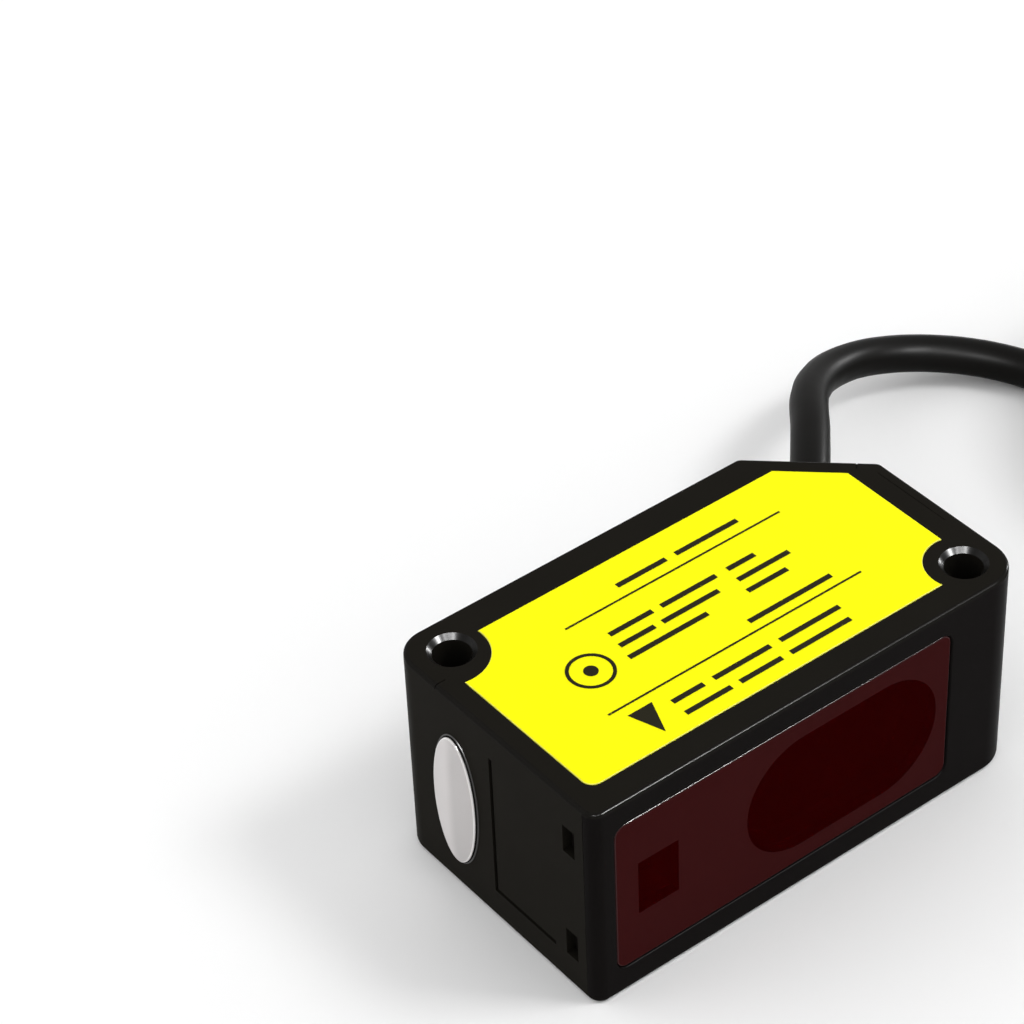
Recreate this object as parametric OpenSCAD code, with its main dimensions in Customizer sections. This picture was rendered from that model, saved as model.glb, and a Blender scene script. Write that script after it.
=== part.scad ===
// Compact laser distance sensor, lying on its plain broad side.
// +X points to the cable end, -Y to the optical window, +Z to the label side.
// The origin is the middle of the footprint, at the height of the surface it lies on.

/* [Case] */
// Length of the case, from the indicator end to the cable end
body_l = 44; // [42:0.5:60]
// Width of the case, from the window face to the display face
body_w = 25; // [24.5:0.5:34]
// Height of the case, from the plain side to the label side
body_h = 20; // [19.5:0.5:28]
// Thickness of the four side walls
wall = 1.5; // [1.3:0.1:1.8]
// Thickness of the plain broad side
floor_t = 1.5; // [1.2:0.1:1.8]
// Thickness of the lid on the label side
cover_t = 1.2; // [0.9:0.1:1.4]
// Length that the chamfer takes from the display face
chamfer_l = 8.4; // [7.4:0.1:9]
// Length that the chamfer takes from the cable end
chamfer_w = 7.9; // [7:0.1:8.6]
// Corner radius beside the display face, at the indicator end
corner_display_r = 2.8; // [2:0.1:3.2]
// Corner radius beside the window face, at the cable end
corner_cable_r = 3.4; // [2.4:0.1:3.6]
// Corner radius beside the window face, at the indicator end
corner_window_r = 1.1; // [0.8:0.1:1.2]
// Corner radius of the two ends of the chamfer
corner_chamfer_r = 0.7; // [0.5:0.1:1]
// Size of the broken edge round the two broad sides
edge_break = 0.35; // [0.2:0.05:0.45]
// Width of the seal between case and lid
seal_w = 0.6; // [0.4:0.05:0.7]
// Thickness of that seal
seal_t = 0.5; // [0.3:0.05:0.7]

/* [Mounting holes] */
// Diameter of the two through holes
hole_d = 3.2; // [3:0.1:3.4]
// Distance of each hole from the two faces beside it
hole_inset = 3.5; // [3.4:0.1:3.8]
// Diameter of the countersunk rim
sink_d = 4; // [3.6:0.1:4.4]
// Depth of the countersunk rim
sink_t = 0.4; // [0.2:0.05:0.6]
// Diameter of the boss round each hole
boss_d = 6; // [5.6:0.1:6.2]

/* [Window] */
// Thickness of the frame round the window
bezel_t = 1.2; // [1.1:0.1:1.4]
// Distance of the window from the cable end
window_end = 7.9; // [7.8:0.1:9]
// Distance of the window from the two broad sides
window_margin = 2.5; // [2.3:0.1:2.8]
// Thickness of the window
window_t = 0.9; // [0.7:0.1:1]
// Corner radius of the window
window_r = 1; // [0.5:0.1:1.4]
// Distance of the window from the indicator end
window_inset = 2.1; // [1.9:0.1:2.4]
// Depth of the window below the frame
window_recess = 0.1; // [0.05:0.05:0.1]
// Play between the window and its frame
window_fit = 0.06; // [0.03:0.01:0.1]
// Width of the gasket behind the window
gasket_w = 1; // [0.8:0.1:1]
// Thickness of the wall that carries the window
front_wall = 1.2; // [1:0.1:1.4]
// Width of the two hook slots in the indicator end
slot_w = 1.4; // [1.2:0.1:1.6]
// Height of the two hook slots
slot_h = 2.7; // [2.2:0.1:3]
// Distance of the slots from the window face
slot_inset = 2.95; // [2.8:0.05:3.2]
// Height between the two slots, middle to middle
slot_pitch = 11; // [10:0.5:11]
// Play of the hooks in their slots
hook_fit = 0.15; // [0.1:0.05:0.2]
// Diameter of the frame's locating pegs
peg_d = 1.2; // [1:0.1:1.4]

/* [Optics] */
// Length of the opening for the beam
emitter_l = 3.95; // [3.4:0.1:4]
// Height of the opening for the beam
emitter_h = 5.3; // [4.6:0.1:5.4]
// Distance of that opening from the window's end
emitter_inset = 2.2; // [2.1:0.1:2.6]
// Distance between the two openings
optics_gap = 6.85; // [6.8:0.05:8]
// Distance of the receiving opening from the window's upper and lower edge
receiver_margin = 1.8; // [1.8:0.1:2.6]
// Distance of that opening from the window's other end
receiver_inset = 1.3; // [1.2:0.1:2]
// Outer diameter of the laser barrel
barrel_d = 7.4; // [7:0.1:7.8]
// Bore of the laser barrel
barrel_bore = 5.6; // [5.6:0.1:6]
// Distance of the laser barrel from the main board
barrel_gap = 5.8; // [5.4:0.1:6.2]
// Wall of the receiver box
box_wall = 1.1; // [0.8:0.1:1.2]
// Distance between the sensor board and the main board
board_gap = 2.8; // [2.7:0.1:3.4]
// Thickness of the mask plate
mask_t = 1; // [0.8:0.1:1.2]
// Rim thickness of the receiving lens
lens_rim_t = 3.4; // [2.5:0.1:4]
// Bulge of the receiving lens
lens_bulge = 1.3; // [0.8:0.1:1.5]
// Play of lenses and diode in their seats
seat_fit = 0.08; // [0.04:0.01:0.12]

/* [Indicator] */
// Width of the oval indicator lens
lamp_w = 5.2; // [4.5:0.1:5.6]
// Height of the oval indicator lens
lamp_h = 13; // [10:0.1:14]
// Distance of its middle from the display face
lamp_inset = 7.9; // [7.8:0.1:8.4]
// Height of the lens above the indicator end
lamp_proud = 0.5; // [0.2:0.05:0.6]
// Gap round the lens
lamp_gap = 0.1; // [0.05:0.01:0.15]
// Diameter of the light stem behind it
stem_d = 2.6; // [2:0.1:2.8]
// Width of the bent groove in the indicator end
groove_w = 0.4; // [0.3:0.05:0.5]
// Depth of that groove
groove_t = 0.3; // [0.2:0.05:0.4]
// Distance of its long leg from the display face
groove_inset = 12.4; // [12:0.1:12.6]
// Distance of its long leg from the two broad sides
groove_margin = 2.9; // [2.6:0.1:3.4]
// Distance of its short leg from the window face
groove_end = 5; // [4.6:0.1:6]

/* [Display] */
// Thickness of the smoked sheet
panel_t = 0.8; // [0.6:0.1:0.8]
// Corner radius of the sheet
panel_r = 0.6; // [0.3:0.1:1]
// Margin round the sheet
panel_margin = 0.8; // [0.7:0.05:1]
// Play of the sheet in its recess
panel_fit = 0.05; // [0.03:0.01:0.08]
// Distance of the lamp windows from the sheet's end
lamps_inset = 3.95; // [3.8:0.05:4.2]
// Distance of the last digit from the sheet's other end
digits_end = 4.95; // [4.8:0.05:5.4]
// Distance of the status bars from the plain side
status_inset = 3.275; // [3.2:0.025:3.4]
// Space between digits
digit_space = 1.1; // [0.9:0.05:1.3]
// Width of a digit's bars
digit_bar = 0.85; // [0.6:0.05:1]
// Length of a status bar or lamp window
lamp_bar_l = 3; // [2.4:0.1:3.2]
// Height of a status bar or lamp window
lamp_bar_h = 1.05; // [0.8:0.05:1.1]
// Distance of the first key from the sheet's end
keys_start = 6.7; // [6.5:0.1:7.2]
// Distance of the last key from the sheet's other end
keys_end = 3.3; // [3.1:0.1:3.8]
// Height of a key
key_h = 4.05; // [3.6:0.05:4.1]
// Corner radius of a key
key_r = 0.45; // [0.2:0.05:0.8]
// Space between keys
key_space = 2.5; // [2.3:0.1:2.8]
// Height of a key above the sheet
key_proud = 0.15; // [0.1:0.05:0.3]
// Travel of a key
key_travel = 0.25; // [0.2:0.05:0.3]
// Gap round a key
key_gap = 0.1; // [0.08:0.01:0.15]
// Distance of the keys from the label side
key_inset = 4.8; // [4.7:0.05:4.9]

/* [Boards] */
// Thickness of the circuit boards
board_t = 0.8; // [0.6:0.1:1]
// Distance of the display board from the display face
display_board_inset = 4.1; // [4:0.05:4.2]
// Distance of the main board from the display face
main_board_inset = 7.7; // [7.6:0.05:7.8]
// Distance of the boards from the two broad sides
board_margin = 2.2; // [2.1:0.1:2.6]

/* [Label] */
// Thickness of the label
label_t = 0.15; // [0.1:0.01:0.2]
// Depth of the label's seat in the lid
label_seat = 0.1; // [0.05:0.01:0.1]
// Margin of the label at the indicator end
label_end = 2; // [1.6:0.1:2.6]
// Margin of the label at the cable end
label_cable_end = 2.9; // [2.4:0.1:3.4]
// Margin of the label beside the window face
label_front = 2.65; // [2.4:0.05:3]
// Margin of the label beside the display face
label_back = 3.07; // [2.6:0.05:3.4]
// Margin of the label beside the chamfer
label_chamfer = 1.55; // [1:0.05:2]
// Radius of the label's hollow round the hole near the display face
relief_display_r = 3.7; // [3.4:0.1:4]
// Radius of the label's hollow round the hole near the window face
relief_window_r = 3.25; // [2.9:0.05:3.6]
// Thickness of the label's ink
ink_t = 0.03; // [0.02:0.01:0.05]

/* [Cable] */
// Diameter of the cable
cable_d = 3.5; // [3.3:0.1:3.6]
// Thickness of each step of the boot
boot_step_t = 0.9; // [0.6:0.1:1]
// Width of the boot's lower step
boot_w = 10.2; // [9:0.1:10.4]
// Height of the boot's lower step
boot_h = 15; // [12:0.5:15.5]
// Width of the boot's upper step
boot_top_w = 8; // [7:0.1:8.4]
// Height of the boot's upper step
boot_top_h = 11; // [9:0.5:12]
// Diameter of the boot's neck in the wall
neck_d = 6; // [5.6:0.1:6.4]
// Diameter of the boot's collar inside the case
collar_d = 7.4; // [7:0.1:7.6]
// Thickness of that collar
collar_t = 1; // [0.8:0.1:1.2]
// Diameter of the crimped ring on the cable
clamp_d = 5; // [4.6:0.1:5.2]
// Length of the crimped ring
clamp_l = 1.4; // [1:0.1:1.6]
// Diameter of the cable's cores
core_d = 1; // [0.8:0.05:1]
// Length of the bare cores at the far end
core_l = 40; // [30:1:50]

/* [Hidden] */
$fn = 48;

// Overshoot of cutting tools past the face they cut
cut = 0.5;

// Faces of the case
x0 = -body_l / 2;
x1 = body_l / 2;
y0 = -body_w / 2;
y1 = body_w / 2;
mid_z = body_h / 2;
rim_z = body_h - cover_t;
bezel_y = y0 + bezel_t;
front_y = bezel_y + front_wall;
inner_y1 = y1 - wall;

// Outline of the case, seen from the label side
corner_radii = [
    corner_window_r, corner_cable_r, corner_chamfer_r, corner_chamfer_r, corner_display_r
];
chamfer_len = norm([chamfer_l, chamfer_w]);
chamfer_out = [chamfer_w, chamfer_l] / chamfer_len;
chamfer_dist = chamfer_out * [x1, y1 - chamfer_w];
chamfer_mid = [x1 - chamfer_l / 2, y1 - chamfer_w / 2];
chamfer_angle = atan2(chamfer_out[1], chamfer_out[0]);

// Corners of an outline with its own margin on each side
function corners(left, front, right, back, slant) = let (
    a = x0 + left, b = x1 - right, c = y0 + front, d = y1 - back, e = chamfer_dist - slant
) [
    [a, c], [b, c],
    [b, (e - chamfer_out[0] * b) / chamfer_out[1]],
    [(e - chamfer_out[1] * d) / chamfer_out[0], d],
    [a, d]
];

function unit(v) = v / norm(v);
function before(list, i) = list[(i + len(list) - 1) % len(list)];
function after(list, i) = list[(i + 1) % len(list)];

// Where the round of a corner starts and ends, and its middle
function round_ends(p, i, r) = let (
    u = unit(before(p, i) - p[i]), v = unit(after(p, i) - p[i]), half = acos(u * v) / 2
) [p[i] + u * r / tan(half), p[i] + v * r / tan(half)];
function round_mid(p, i, r) = let (
    u = unit(before(p, i) - p[i]), v = unit(after(p, i) - p[i]), half = acos(u * v) / 2
) p[i] + unit(u + v) * r / sin(half);

// A shape with straight sides and true round corners
module rounded(p, radii) {
    polygon([for (i = [0:len(p) - 1]) each round_ends(p, i, radii[i])]);
    for (i = [0:len(p) - 1])
        translate(round_mid(p, i, radii[i])) circle(radii[i]);
}

module case_outline(inset = 0) {
    rounded(
        corners(inset, inset, inset, inset, inset),
        [for (r = corner_radii) max(r - inset, 0.3)]
    );
}

// The outline from a given depth behind the window face
module outline_behind(y, inset = 0) {
    intersection() {
        case_outline(inset);
        translate([-body_l, y]) square([2 * body_l, 2 * body_w]);
    }
}

module round_rect(l, w, r) {
    rounded([[-l / 2, -w / 2], [l / 2, -w / 2], [l / 2, w / 2], [-l / 2, w / 2]], [r, r, r, r]);
}

// A shape with two straight sides and two round ends
module stadium(l, w) {
    square([l - w, w], center = true);
    for (s = [-1, 1]) translate([s * (l - w) / 2, 0]) circle(w / 2);
}

// Breaks the edges round the lower side along the straight sides of the outline
module edge_cut() {
    p = corners(0, 0, 0, 0, 0);
    over = 0.1;
    run = 3;
    for (i = [0:len(p) - 1]) {
        way = unit(after(p, i) - p[i]);
        translate(p[i] - run * way) rotate(atan2(way[1], way[0])) rotate([90, 0, 90])
            linear_extrude(norm(after(p, i) - p[i]) + 2 * run)
                polygon([[edge_break + over, -over], [-over, edge_break + over], [-over, -over]]);
    }
}

module edge_cut_top() {
    translate([0, 0, body_h]) mirror([0, 0, 1]) edge_cut();
}

// The two holes: near the display face and near the window face
hole_display = [x0 + hole_inset, y1 - hole_inset];
hole_window = [x1 - hole_inset, y0 + hole_inset];
holes = [hole_display, hole_window];

module mounting_holes() {
    for (h = holes) translate(h) {
        translate([0, 0, -cut]) cylinder(d = hole_d, h = body_h + 2 * cut);
        for (m = [0, 1]) translate([0, 0, m * body_h]) mirror([0, 0, m]) {
            cylinder(d1 = sink_d, d2 = hole_d, h = sink_t);
            translate([0, 0, -cut]) cylinder(d = sink_d, h = cut);
        }
    }
}

// Puts flat shapes, drawn in X and Z, at a depth y with a thickness towards +Y
module facing_y(y, t) {
    translate([0, y + t, 0]) rotate([90, 0, 0]) linear_extrude(t) children();
}

// A block between two corners
module block(a, b) {
    translate(a) cube(b - a);
}

// A straight round rod between two points
module rod(a, b, d) {
    v = b - a;
    translate(a) rotate([0, acos(v[2] / norm(v)), atan2(v[1], v[0])])
        cylinder(d = d, h = norm(v), $fn = 24);
}

// Window and optics, from the window face inwards
window_l = body_l - window_inset - window_end;
window_h = body_h - 2 * window_margin;
window_x = x0 + window_inset + window_l / 2;
window_y = y0 + window_recess;
window_back = window_y + window_t;
gasket_t = bezel_y - window_back;
window_open_l = window_l - 2 * gasket_w;
window_open_h = window_h - 2 * gasket_w;
mask_gap = 0.1;
mask_y = window_back + mask_gap;
mask_fit = 0.15;
mask_back = front_y + mask_t;
emitter_x = window_x - window_l / 2 + emitter_inset + emitter_l / 2;
receiver_l = window_l - emitter_inset - emitter_l - optics_gap - receiver_inset;
receiver_h = window_h - 2 * receiver_margin;
receiver_x = window_x + window_l / 2 - receiver_inset - receiver_l / 2;
main_board_y = y1 - main_board_inset;
barrel_l = main_board_y - barrel_gap - mask_back;
barrel_back = mask_back + barrel_l;
lens_l = receiver_l + 0.2;
lens_h = receiver_h + 0.5;
box_l = lens_l + 2 * seat_fit;
box_h = lens_h + 2 * seat_fit;
box_depth = main_board_y - board_gap - board_t - mask_back;
box_back = mask_back + box_depth;

// Hooks of the frame
hook_t = 0.7;
hook_in = 0.3;
hook_x = x0 + wall - hook_in + hook_fit;
hook_reach = bezel_y + slot_inset + slot_w / 2 - bezel_t - hook_fit;
slot_y = y0 + slot_inset;
slots_z = [mid_z - slot_pitch / 2, mid_z + slot_pitch / 2];
peg_x = window_x + window_l / 2 + peg_d / 2 + 0.7;
peg_l = front_wall - 0.2;

// Indicator
lamp_y = y1 - lamp_inset;
lamp_z = rim_z / 2;
lamp_flange = 0.5;
lamp_flange_t = 0.6;
stem_l = 1.5;
led_t = 1.5;
led_x = x0 + wall + lamp_flange_t + stem_l;

function oval(w, h) = [for (a = [0:7.5:359]) [w / 2 * cos(a), h / 2 * sin(a)]];

// Puts flat shapes, drawn in Y and Z, at a place x with a thickness towards +X
module facing_x(x, t) {
    translate([x, 0, 0]) rotate([90, 0, 90]) linear_extrude(t) children();
}

// Display face
panel_x0 = x0 + corner_display_r + panel_margin;
panel_x1 = x1 - chamfer_l - panel_margin;
panel_z0 = panel_margin;
panel_z1 = rim_z - panel_margin;
panel_y = y1 - panel_t;
key_z = body_h - key_inset;
key_l = (panel_x1 - panel_x0 - keys_start - keys_end - 2 * key_space) / 3;
keys_x = [for (k = [0:2]) panel_x0 + keys_start + key_l / 2 + k * (key_l + key_space)];
lamps_x = panel_x0 + lamps_inset + lamp_bar_l / 2;
digits_x0 = lamps_x + lamp_bar_l / 2 + 1.2;
digit_w = (panel_x1 - digits_end - digits_x0 - 3 * digit_space) / 4;
digit_pitch = digit_w + digit_space;
digits_x = [for (k = [0:3]) digits_x0 + digit_w / 2 + k * digit_pitch];
status_z = status_inset;
digit_gap = 1.6;
digit_h = key_z - key_h / 2 - 1.3 - status_z - digit_gap;
digits_z = status_z + digit_gap + digit_h / 2;
minus_x = digits_x[0] - digit_pitch / 2 - 1.2;
laser_lamp_z = digits_z + digit_h / 2 - 0.3;
power_lamp_z = digits_z - digit_h / 2 + 0.3;
status_x = [digits_x[0], digits_x[1], digits_x[3]];
module_x0 = lamps_x - lamp_bar_l / 2 - 0.4;
module_x1 = digits_x[3] + digit_w / 2 + 1;
module_z0 = status_z - lamp_bar_h / 2 - 0.3;
module_z1 = digits_z + digit_h / 2 + 0.5;
module_fit = 0.15;
segment_t = 0.06;
module_y1 = panel_y - segment_t - 0.03;

// Boards
display_board_y = y1 - display_board_inset;
display_front = display_board_y + board_t;
main_back = main_board_y + board_t;
board_h = body_h - 2 * board_margin;
board_z0 = board_margin;
rest_l = 2;
sensor_board_x0 = receiver_x - box_l / 2 - box_wall;
display_board_x0 = hole_display[0] + boss_d / 2 + 0.3;
display_board_x1 = keys_x[2] + 4.6;
main_board_x0 = led_x + led_t;
main_board_end = 11.3;
main_board_x1 = x1 - main_board_end;
header_h = 10;
header_t = 2.5;
header_end = 5.2;
chip_l = 7;
key_flange = 0.5;
key_flange_t = 0.5;
key_back = inner_y1 - 0.1 - key_flange_t;
switch_l = 3.6;
switch_top = key_back - key_travel - 0.1;
plunger_d = 1.8;
plunger_in = 0.3;
plunger_room = 0.08;

// Chassis ears and their screws
ear_t = 1.2;
ear_z = floor_t + 2;
ear_w = 4;
ear_left = [(emitter_x + barrel_d / 2 + receiver_x - box_l / 2 - box_wall) / 2, mask_back + 5];
ear_right = [receiver_x + box_l / 2 + box_wall + 2, mask_back + 7.2];
screw_d = 1.6;
screw_head_d = 2.8;
screw_in = 1.6;
post_d = 3.6;

// Boot and cable entry, outwards along the middle of the chamfer
boot_fit = 0.02;
exit_out = 2 * boot_step_t;
entry_in = 6;
connector_x = [main_board_x1 - 4.2, main_board_x1 - 0.7];
connector_t = 2.2;
connector_h = 9;

module at_chamfer() {
    translate([chamfer_mid[0], chamfer_mid[1], mid_z]) rotate([0, 0, chamfer_angle]) children();
}

// Puts a cylinder along the way out of the chamfer, from one distance to another
module outward(from, to, d) {
    translate([from, 0, 0]) rotate([0, 90, 0]) cylinder(d = d, h = to - from);
}

// A flat plate on the chamfer
module boot_plate(from, t, w, h, r) {
    translate([from, 0, 0]) rotate([90, 0, 90]) linear_extrude(t) round_rect(w, h, r);
}

// The free cable: its way from the boot to the coil, chosen by hand
exit_point = [
    chamfer_mid[0] + exit_out * chamfer_out[0], chamfer_mid[1] + exit_out * chamfer_out[1], mid_z
];
out_3d = [chamfer_out[0], chamfer_out[1], 0];
coil_mid = [78, -6];
coil_r = 26.1;
coil_pitch = 3.55;
coil_turns = 3.6;
coil_levels = 4;
coil_start = 160;
coil_rest = cable_d / 2;
coil_in_r = coil_r - coil_pitch * coil_turns;
coil_top = coil_rest + (coil_levels - 1) * coil_pitch;
coil_end = coil_start + coil_levels * coil_turns * 360 + (coil_levels - 1) * 90;
cable_way = concat(
    [exit_point, exit_point + 3.5 * out_3d],
    [
        [26, 17.3, 9.9], [30.2, 22, 9.3], [33.9, 26.2, 8.1], [38.4, 29.4, 6.4],
        [44, 30.8, 4.6], [49.6, 29.8, 3.1], [54.3, 26.6, 2.2], [57.4, 21.8, 1.8],
        [58.4, 16, 1.75], [57.2, 9.6, 1.75]
    ],
    [on_coil(coil_start, coil_r, coil_rest)]
);
tail_way = concat(
    [on_coil(coil_end, coil_r, coil_top)],
    [
        [59, -24.4, 12.2], [62.9, -28.6, 11.3], [68.4, -32.5, 9.5], [75, -35.1, 7.2],
        [82.2, -35.8, 4.9], [89.5, -34.5, 3.1], [96.6, -31.6, 2.1], [101.6, -27.9, 1.75],
        [105.2, -21.8, 1.75]
    ]
);

function on_coil(angle, r, z) = [coil_mid[0] + r * cos(angle), coil_mid[1] + r * sin(angle), z];

// A round tube swept along a row of points
function way_at(p, i) = unit(p[min(i + 1, len(p) - 1)] - p[max(i - 1, 0)]);
function ring(p, i, d, n) = let (
    t = way_at(p, i), side = unit(cross(t, [0, 0, 1])), up = cross(side, t)
) [for (k = [0:n - 1]) let (a = 360 * (k + 0.5) / n) p[i] + d / 2 * (cos(a) * side + sin(a) * up)];

module tube(p, d, n = 8) {
    last = (len(p) - 1) * n;
    polyhedron(
        points = [for (i = [0:len(p) - 1]) each ring(p, i, d, n)],
        faces = concat(
            [[for (k = [0:n - 1]) n - 1 - k]],
            [[for (k = [0:n - 1]) last + k]],
            [for (i = [0:len(p) - 2]) for (k = [0:n - 1]) let (
                a = i * n + k, b = i * n + (k + 1) % n
            ) each [[a, b, b + n], [a, b + n, a + n]]]
        )
    );
}

// The cores beyond the jacket spread out on the surface, beside the coil
tail_tip = tail_way[len(tail_way) - 1];
tail_r = norm([tail_tip[0] - coil_mid[0], tail_tip[1] - coil_mid[1]]);
tail_angle = atan2(tail_tip[1] - coil_mid[1], tail_tip[0] - coil_mid[0]);
core_ring = 1.1;
core_spread = 2.4;
core_steps = 7;
tip_l = 5;
function smooth(s) = s * s * (3 - 2 * s);
// Where each core lies in the jacket, from the inside of the bend outwards
core_seats = [for (a = [162, 234, 90, 306, 18]) core_ring * [cos(a), sin(a)]];
function core_point(i, s) = let (
    angle = tail_angle + s * core_l / tail_r * 180 / PI,
    part = smooth(min(1, s * 1.6)),
    r = tail_r + (1 - part) * core_seats[i][0] + part * (i - 0.8) * core_spread,
    drop = smooth(min(1, s * 2.5)),
    z = (1 - drop) * (tail_tip[2] + core_seats[i][1]) + drop * core_d / 2
) [coil_mid[0] + r * cos(angle), coil_mid[1] + r * sin(angle), z];
function core_way(i) = [
    core_point(i, 0), core_point(i, 0.03), for (k = [1:core_steps]) core_point(i, k / core_steps)
];

module core(i) {
    tube(core_way(i), core_d);
}

tie_angle = 40;
tie_t = 0.4;
tie_l = 6;
tie_turn = tie_l / coil_r * 180 / PI;

// Section of the coil
tie_gap = 0.12;
tie_lift = tie_t + tie_gap;
module coil_section(grow = 0, lift = 0) {
    w = coil_r - coil_in_r + cable_d + 2 * grow;
    h = coil_top + coil_rest + 2 * grow;
    translate([(coil_r + coil_in_r) / 2, (coil_top + coil_rest) / 2 + lift])
        round_rect(w, h, cable_d / 2 + grow);
}

module tie_sector() {
    translate([coil_mid[0], coil_mid[1], 0]) rotate(tie_angle - tie_turn / 2)
        rotate_extrude(angle = tie_turn) children();
}

// Housing

module main_case() color([0.07, 0.07, 0.075]) difference() {
    union() {
        difference() {
            linear_extrude(rim_z) outline_behind(bezel_y);
            translate([0, 0, floor_t]) linear_extrude(body_h) outline_behind(front_y, wall);
        }
        linear_extrude(rim_z) intersection() {
            for (h = holes) translate(h) circle(d = boss_d);
            outline_behind(bezel_y);
        }
        for (e = [ear_left, ear_right]) translate(e) cylinder(d = post_d, h = ear_z, $fn = 32);
        board_rests();
    }
    edge_cut();
    mounting_holes();
    seal_space(seal_t + cut);
    window_opening();
    hook_spaces();
    peg_spaces();
    lamp_opening();
    bent_groove();
    display_openings();
    at_chamfer() outward(-2 * wall, cut, neck_d);
    for (e = [ear_left, ear_right]) translate([e[0], e[1], floor_t])
        cylinder(d = screw_d, h = body_h, $fn = 24);
}

module board_rests() {
    for (x = [display_board_x0 + 1, display_board_x1 - 1 - rest_l]) {
        block([x, display_board_y - 1.2, 0.5], [x + rest_l, display_front, board_z0]);
        block([x, display_board_y - 1.2, 0.5], [x + rest_l, display_board_y, board_z0 + 1.5]);
    }
    for (x = [main_board_x0 + 3, main_board_x1 - 4 - rest_l])
        block([x, main_board_y - 1, 0.5], [x + rest_l, main_back + 1, board_z0]);
}

// The seal lies in a rebate along the inner edge of the rim, and passes the bosses inside
module seal_ring(w) {
    turn = boss_d / 4 - w / 2;
    difference() {
        outline_behind(front_y - w, wall - w);
        difference() {
            outline_behind(front_y, wall);
            for (h = holes) translate(h) circle(d = boss_d);
        }
        for (h = holes) translate(h) circle(d = boss_d - 2 * w);
        translate(hole_display + [turn, -turn]) mirror([1, 0]) square(body_w);
        translate(hole_window + [-turn, turn]) mirror([0, 1]) square(body_w);
    }
}

module seal_space(h) {
    translate([0, 0, rim_z - seal_t]) linear_extrude(h) seal_ring(seal_w);
}

module window_opening() {
    translate([window_x, 0, mid_z]) facing_y(y0, front_y - y0 + cut)
        round_rect(window_open_l, window_open_h, window_r);
}

module hook_spaces() {
    for (z = slots_z) {
        block(
            [x0 - cut, slot_y - slot_w / 2, z - slot_h / 2],
            [x0 + wall + cut, slot_y + slot_w / 2, z + slot_h / 2]
        );
        block(
            [x0 + wall - hook_in, y0, z - slot_h / 2],
            [hook_x + hook_t + hook_fit, slot_y + slot_w / 2 + hook_fit, z + slot_h / 2]
        );
    }
}

module pegs(d, l) {
    for (z = slots_z) translate([peg_x, bezel_y, z]) rotate([-90, 0, 0])
        cylinder(d = d, h = l, $fn = 24);
}

module peg_spaces() {
    translate([0, -cut, 0]) pegs(peg_d + 0.1, peg_l + 0.1 + cut);
}

module lamp_opening() {
    translate([0, lamp_y, lamp_z]) facing_x(x0 - cut, wall + cut)
        polygon(oval(lamp_w + 2 * lamp_gap, lamp_h + 2 * lamp_gap));
}

module bent_groove() {
    y = y1 - groove_inset;
    z = groove_margin;
    block([x0 - cut, y - groove_w, z], [x0 + groove_t, y, body_h - groove_margin]);
    block([x0 - cut, y0 + groove_end, z], [x0 + groove_t, y, z + groove_w]);
}

module panel_outline(inset) {
    translate([(panel_x0 + panel_x1) / 2, (panel_z0 + panel_z1) / 2])
        round_rect(panel_x1 - panel_x0 - 2 * inset, panel_z1 - panel_z0 - 2 * inset, panel_r);
}

// The recess for the sheet, and the openings for the display and the keys behind it
module display_openings() {
    facing_y(panel_y, panel_t + cut) panel_outline(0);
    facing_y(inner_y1 - cut, wall + cut)
        translate([(module_x0 + module_x1) / 2, (module_z0 + module_z1) / 2])
            square([
                module_x1 - module_x0 + 2 * module_fit, module_z1 - module_z0 + 2 * module_fit
            ], center = true);
    for (x = keys_x) translate([x, 0, key_z]) facing_y(inner_y1 - cut, wall + cut)
        round_rect(key_l + 2 * key_gap, key_h + 2 * key_gap, key_r + key_gap);
}

module side_cover() color([0.075, 0.075, 0.08]) difference() {
    translate([0, 0, rim_z]) linear_extrude(cover_t) outline_behind(bezel_y);
    edge_cut_top();
    mounting_holes();
    translate([0, 0, body_h - label_seat]) linear_extrude(label_seat + cut) label_outline();
    rim_slits();
}

// Two thin slits in the rim of the lid
module rim_slits() {
    slit_w = 0.2;
    slit_l = 1.1;
    slit_t = 0.6;
    block(
        [x0 - cut, y1 - 6, body_h - slit_t], [x0 + slit_l, y1 - 6 + slit_w, body_h + cut]
    );
    at_chamfer() block(
        [-slit_l, 1.75 - chamfer_len / 2, mid_z - slit_t],
        [cut, 1.75 + slit_w - chamfer_len / 2, mid_z + cut]
    );
}

module cover_seal() color([0.12, 0.12, 0.12])
    translate([0, 0, rim_z - seal_t]) linear_extrude(seal_t) seal_ring(seal_w);

module front_bezel() color([0.06, 0.06, 0.065]) {
    difference() {
        linear_extrude(body_h) difference() {
            case_outline();
            translate([-body_l, bezel_y]) square([2 * body_l, 2 * body_w]);
        }
        edge_cut();
        edge_cut_top();
        translate([window_x, 0, mid_z]) facing_y(y0 - cut, bezel_t + 2 * cut)
            round_rect(
                window_l + 2 * window_fit, window_h + 2 * window_fit, window_r + window_fit
            );
    }
    hooks();
    pegs(peg_d, peg_l);
}

module hooks() {
    h = slot_h - 2 * hook_fit;
    for (z = slots_z) {
        block([hook_x, bezel_y, z - h / 2], [hook_x + hook_t, hook_reach, z + h / 2]);
        block(
            [x0 + hook_t, slot_y - slot_w / 2 + hook_fit, z - h / 2],
            [hook_x, slot_y + slot_w / 2 - hook_fit, z + h / 2]
        );
    }
}

module window_gasket() color([0.1, 0.1, 0.1]) translate([window_x, 0, mid_z])
    facing_y(window_back, gasket_t) difference() {
        round_rect(window_l, window_h, window_r);
        round_rect(window_open_l, window_open_h, window_r);
    }

module window() color([0.32, 0.03, 0.04, 0.75]) translate([window_x, 0, mid_z])
    facing_y(window_y, window_t) round_rect(window_l, window_h, window_r);

// Label

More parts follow.
